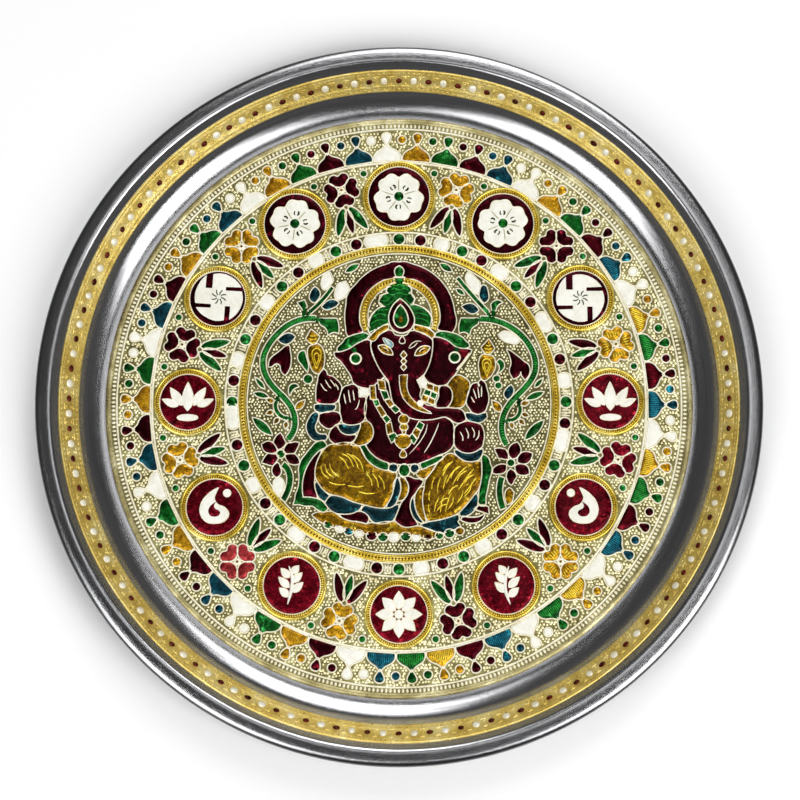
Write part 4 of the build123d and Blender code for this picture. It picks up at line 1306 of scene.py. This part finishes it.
BASE_GEMS = [
    ("green", -24.8, -43.6, 1.3), ("white", -20.8, -45.0, 1.3), ("blue", -17.6, -46.0, 1.3),
    ("white", -14.0, -46.9, 1.2), ("maroon", -9.6, -47.6, 1.5), ("green", -5.6, -48.1, 1.4),
    ("white", -1.8, -48.1, 1.5), ("green", 2.4, -47.9, 1.4), ("white", 6.0, -48.2, 1.2),
    ("maroon", 10.2, -48.0, 1.2), ("green", 14.2, -47.6, 1.1), ("green", 17.8, -46.8, 1.4),
    ("amber", 21.4, -46.0, 1.2),
]
for colour, x, y, size in BASE_GEMS:
    cell(colour, "base_gems_" + colour, ellipse((x, y), size * 1.15, size, count=14), height=0.75)
FOOT = [
    [(22.0, -42.0), (25.4, -43.0), (28.6, -42.2), (30.2, -39.9), (28.6, -40.9), (25.6, -41.3), (22.6, -40.9)],
    [(26.8, -38.2), (29.0, -37.0), (31.4, -37.6), (31.6, -39.8), (29.0, -38.9)],
]
for loop in FOOT:
    cell("maroon", "base_gems_maroon", soften(anticlockwise(loop)), 0.5)


# Vine extras: balls, dots and the small bits round the flowers

STEMS = [
    [
        (-29.8, 30.2), (-38.0, 28.8), (-45.2, 22.6), (-48.6, 14.6), (-45.4, 6.2), (-38.6, -1.4),
        (-36.9, -7.6), (-39.4, -13.4),
    ],
    [
        (29.2, 30.0), (36.4, 28.8), (43.4, 24.4), (47.6, 18.4), (48.6, 11.6), (44.6, 4.8), (38.4, -2.2),
        (36.4, -9.0), (38.2, -15.4),
    ],
]
# Raised ribs across the stems, in a lighter green that is a painted highlight on the ribs
for route in STEMS:
    line = divide(curve(route, 8), 1.0, False)
    for before, here in zip(line, line[1:]):
        along = (here[0] - before[0], here[1] - before[1])
        if hypot(*along) > 0.3:
            across = [beside(here, along, -0.8), here, beside(here, along, 0.8)]
            rib("leaf", "stem_ribs", across, 0.5, FOIL_TOP + 0.4, 0.32)
WIDE_JOINTS = [
    [(-31.4, 30.1), (-27.2, 29.6)], [(31.0, 29.9), (27.2, 29.6)],
]
SLIM_JOINTS = [
    [(-33.4, 30.2), (-31.4, 33.4)], [(33.2, 30.0), (31.2, 33.2)], [(-42.4, 3.0), (-43.6, -0.4)],
    [(-40.2, -5.6), (-37.2, -6.4)], [(42.2, 2.0), (42.9, -2.2)], [(39.6, -6.4), (36.6, -7.4)],
    [(-34.2, 30.4), (-33.8, 34.2)], [(33.8, 30.4), (33.9, 34.2)],
]
for width, joints in ((2.2, WIDE_JOINTS), (1.5, SLIM_JOINTS)):
    for joint in joints:
        wire(enamel_shape("green", "vine_joints"), divide(joint, 0.8, False), width, FOIL_TOP, 0.64, False)
VINE_EXTRAS = [
    ("green", ellipse((-41.8, -18.6), 1.3)), ("green", ellipse((39.6, -21.8), 1.2)),
    ("green", ellipse((-32.4, 8.3), 1.5)), ("green", ellipse((34.8, 8.4), 1.1)),
    ("green", ellipse((35.4, 5.9), 1.1)), ("green", leaf_loop((-48.0, 5.0), (-51.2, 8.8), 1.3)),
    ("green", leaf_loop((48.5, 5.4), (51.2, 8.4), 1.3)),
    ("amber", leaf_loop((-36.6, -2.6), (-33.6, 0.6), 2.0)),
    ("amber", leaf_loop((36.2, -3.4), (33.2, 0.4), 2.4)),
]
# Small petals round the two side flowers: left base, right base, length and width
FRINGE = (
    ((-44.6, 0.2), (43.6, -0.8), 2.6, 1.5), ((-44.8, -3.4), (43.8, -4.2), 2.4, 1.4),
    ((-42.8, -5.8), (42.8, -6.4), 2.4, 1.4), ((-40.0, -7.2), (39.8, -7.4), 2.2, 1.3),
)
for left, right, length, width in FRINGE:
    for base, hub in ((left, (-39.4, -1.4)), (right, (38.6, -2.0))):
        out = distance(hub, base)
        tip = mix(hub, base, 1 + length / out)
        VINE_EXTRAS.append(("amber", leaf_loop(base, tip, width)))
for colour, loop in VINE_EXTRAS:
    cell(colour, "vine_extras_" + colour, anticlockwise(loop), 0.5)

for place, length, width in (((-29.4, 15.6), 7.4, 3.4), ((31.3, 12.4), 6.2, 3.2)):
    for share in (1.0, 0.55):
        bud = drop(place, length * share, width * share, -90)
        wire(enamel_shape("yellow", "bud_lines"), bud, 0.5, ON_ENAMEL, 0.32)
for x, y in ((-30.8, 23.0), (31.9, 19.4)):
    for row in (-1.2, 0.0, 1.2):
        half = 1.5 - abs(row) * 0.4
        line = curve([(x - half, y + row), (x, y + row - 0.5), (x + half, y + row)])
        rib("yellow", "bud_lines", line, 0.45, ON_ENAMEL, 0.3)
wires.piece("enamel_outlines", "wire", "gold_foil")
fine.piece("fine_lines", "wire", "gold_foil")
seams.piece("motif_seams", "seam", "gold_foil")
# Slots of the lacquers that are no plain colour of the palette
SLOTS = {
    "red": "enamel_maroon", "rose": "enamel_maroon", "yellow": "enamel_amber", "honey": "enamel_amber",
    "sky": "enamel_blue", "teal": "enamel_blue", "azure": "enamel_blue", "leaf": "enamel_green",
    "olive": "enamel_green", "brown": "gold_foil",
}
for name, (colour, shape) in enamels.items():
    slot = SLOTS.get(colour, "enamel_" + colour)
    shape.piece("enamel_" + name, colour, slot, [name] if name in cells else ())


# Foil ground with stipple between the cells

GRID = 0.25
HALF = 106.0
SIZE = int(2 * HALF / GRID)
taken = np.zeros((SIZE, SIZE), dtype=bool)


def step_of(length):
    """Row or column of the mask at a place."""
    return int((length + HALF) / GRID)


def cover(loop, margin):
    """Marks an outline and a margin round it as taken."""
    outline = np.array(grow(thin(loop), margin))
    low = max(0, step_of(outline[:, 1].min()))
    high = min(SIZE - 1, step_of(outline[:, 1].max()) + 1)
    for row in range(low, high + 1):
        cuts = row_cuts(outline, row * GRID - HALF)
        for start, end in zip(cuts[::2], cuts[1::2]):
            taken[row, step_of(start):step_of(end) + 1] = True


for loop, margin in blocked:
    cover(loop, margin)
ZONES = ((0.0, 53.4), (58.0, 61.2), (62.6, 87.1), (88.6, 99.7))
STIPPLE_PITCH = 1.15
STIPPLE_ROW = STIPPLE_PITCH * ROW_SHARE
STIPPLE_SIDES = 6
OUTER_SIZE = 1.2  # stipple beyond the field is larger by this factor
stipple = Shape()
for row in range(int(2 * FOIL_RADIUS / STIPPLE_ROW) + 1):
    for column in range(int(2 * FOIL_RADIUS / STIPPLE_PITCH) + 1):
        x = -FOIL_RADIUS + (column + row % 2 * 0.5 + chance.uniform(-0.2, 0.2)) * STIPPLE_PITCH
        y = -FOIL_RADIUS + (row + chance.uniform(-0.2, 0.2)) * STIPPLE_PITCH * ROW_SHARE
        reach = hypot(x, y)
        size = chance.uniform(0.3, 0.48) * (OUTER_SIZE if reach > FIELD_RADIUS else 1.0)
        lift = chance.uniform(0.2, 0.34)
        if not any(low < reach < high for low, high in ZONES):
            continue
        if taken[step_of(y), step_of(x)]:
            continue
        lean = chance.uniform(0, 1)
        turns = [(k + lean) * 2 * pi / STIPPLE_SIDES for k in range(STIPPLE_SIDES)]
        points = [(*polar(size, turn, (x, y)), FOIL_TOP - SINK) for turn in turns]
        faces = [[k, (k + 1) % STIPPLE_SIDES, STIPPLE_SIDES] for k in range(STIPPLE_SIDES)]
        stipple.add([*points, (x, y, FOIL_TOP + lift)], faces)
stipple.piece("foil_stipple", "stipple", "gold_foil")

GROUND_RINGS = 70
GROUND_STEPS = 360
ground = Shape()
directions = [2 * pi * step / GROUND_STEPS for step in range(GROUND_STEPS)]
neighbours = [(step, (step + 1) % GROUND_STEPS) for step in range(GROUND_STEPS)]
for k in range(1, GROUND_RINGS + 1):
    reach = (FOIL_RADIUS - 0.3) * k / GROUND_RINGS
    for angle in directions:
        rise = chance.uniform(-0.08, 0.04) if k < GROUND_RINGS else 0.0
        ground.points.append((*polar(reach, angle), FOIL_TOP + rise))
for start in range(0, (GROUND_RINGS - 1) * GROUND_STEPS, GROUND_STEPS):
    outer = start + GROUND_STEPS
    ground.faces += [[start + a, outer + a, outer + b, start + b] for a, b in neighbours]
last = len(ground.points) - GROUND_STEPS
centre = len(ground.points)
ground.points.append((0.0, 0.0, FOIL_TOP))
ground.faces += [[a, b, centre] for a, b in neighbours]
edge = len(ground.points)
ground.points += [(*polar(FOIL_RADIUS, angle), SHEET + SINK) for angle in directions]
ground.faces += [[last + a, edge + a, edge + b, last + b] for a, b in neighbours]
ground.piece("foil_ground", "ground", "gold_foil", ["foil_disc"])


# Stage: floor, world, lamps and camera, in metres

FLOOR_HALF = 4.0
floor_material, tree, shader = new_material("floor")
pale = noise(tree, position(tree), 0.004, 2.0, 0.5)
feed(
    tree, shader, Base_Color=ramp(tree, pale, (0.3, (0.96, 0.96, 0.96)), (0.7, (0.98, 0.98, 0.98))),
    Roughness=0.9, Specular_IOR_Level=0.1,
)
floor_mesh = bpy.data.meshes.new("floor")
corners = [(x * FLOOR_HALF, y * FLOOR_HALF, 0.0) for x, y in ((-1, -1), (1, -1), (1, 1), (-1, 1))]
floor_mesh.from_pydata(corners, [], [[0, 1, 2, 3]])
floor_mesh.materials.append(floor_material)
floor = bpy.data.objects.new("floor", floor_mesh)
floor.location.z = -0.0002
bpy.context.scene.collection.objects.link(floor)

BACKDROP = 0.96  # what the camera sees behind the plate, while the plate is lit by a dim sky
world = bpy.data.worlds.new("studio")
world.use_nodes = True
bpy.context.scene.world = world
tree = world.node_tree
height = node(tree, "SeparateXYZ", node(tree, "TexCoord").outputs["Generated"]).outputs[2]
backdrop = node(tree, "Mix", node(tree, "LightPath").outputs["Is Camera Ray"])
tree.links.new(spread(tree, height, 0.14, 0.06, 0.1, 0.9), backdrop.inputs[2])
backdrop.inputs[3].default_value = BACKDROP
feed(tree, tree.nodes["Background"], Color=backdrop.outputs[0], Strength=1.0)

LAMP_DISTANCE = 1.25


def lamp(name, azimuth, elevation, size, power):
    """Flat lamp that faces the plate, placed by two angles in degrees."""
    data = bpy.data.lights.new(name, "AREA")
    data.shape = "RECTANGLE"
    data.size, data.size_y = size
    data.energy = power
    made = bpy.data.objects.new(name, data)
    x, y = polar(LAMP_DISTANCE * cos(radians(elevation)), radians(azimuth))
    made.location = (x, y, LAMP_DISTANCE * sin(radians(elevation)))
    made.rotation_euler = (-Vector(made.location)).to_track_quat("-Z", "Y").to_euler()
    bpy.context.scene.collection.objects.link(made)


lamp("right_box", 325.0, 50.0, (0.6, 0.95), 9.0)
lamp("left_box", 225.0, 50.0, (0.6, 0.95), 7.2)
lamp("back_box", 80.0, 44.0, (0.6, 0.85), 6.4)
lamp("high_box", 60.0, 80.0, (0.35, 0.35), 0.5)

CAMERA_DISTANCE = 0.66
AIM_HEIGHT = 0.001
camera_data = bpy.data.cameras.new("camera")
camera_data.sensor_width = 36.0
camera_data.lens = 83.5
camera_data.shift_x = 0.0014
camera_data.shift_y = 0.0025
camera = bpy.data.objects.new("camera", camera_data)
lean_x = sin(radians(0.35))
lean_y = sin(radians(-8.8))
toward = Vector((lean_x, lean_y, math.sqrt(1 - lean_x ** 2 - lean_y ** 2)))
camera.location = toward * CAMERA_DISTANCE + Vector((0, 0, AIM_HEIGHT))
across = Vector((0, 1, 0)).cross(toward).normalized()
upward = toward.cross(across)
camera.rotation_euler = Matrix((across, upward, toward)).transposed().to_euler()
bpy.context.scene.collection.objects.link(camera)
bpy.context.scene.camera = camera
bpy.context.scene.view_settings.view_transform = "Standard"
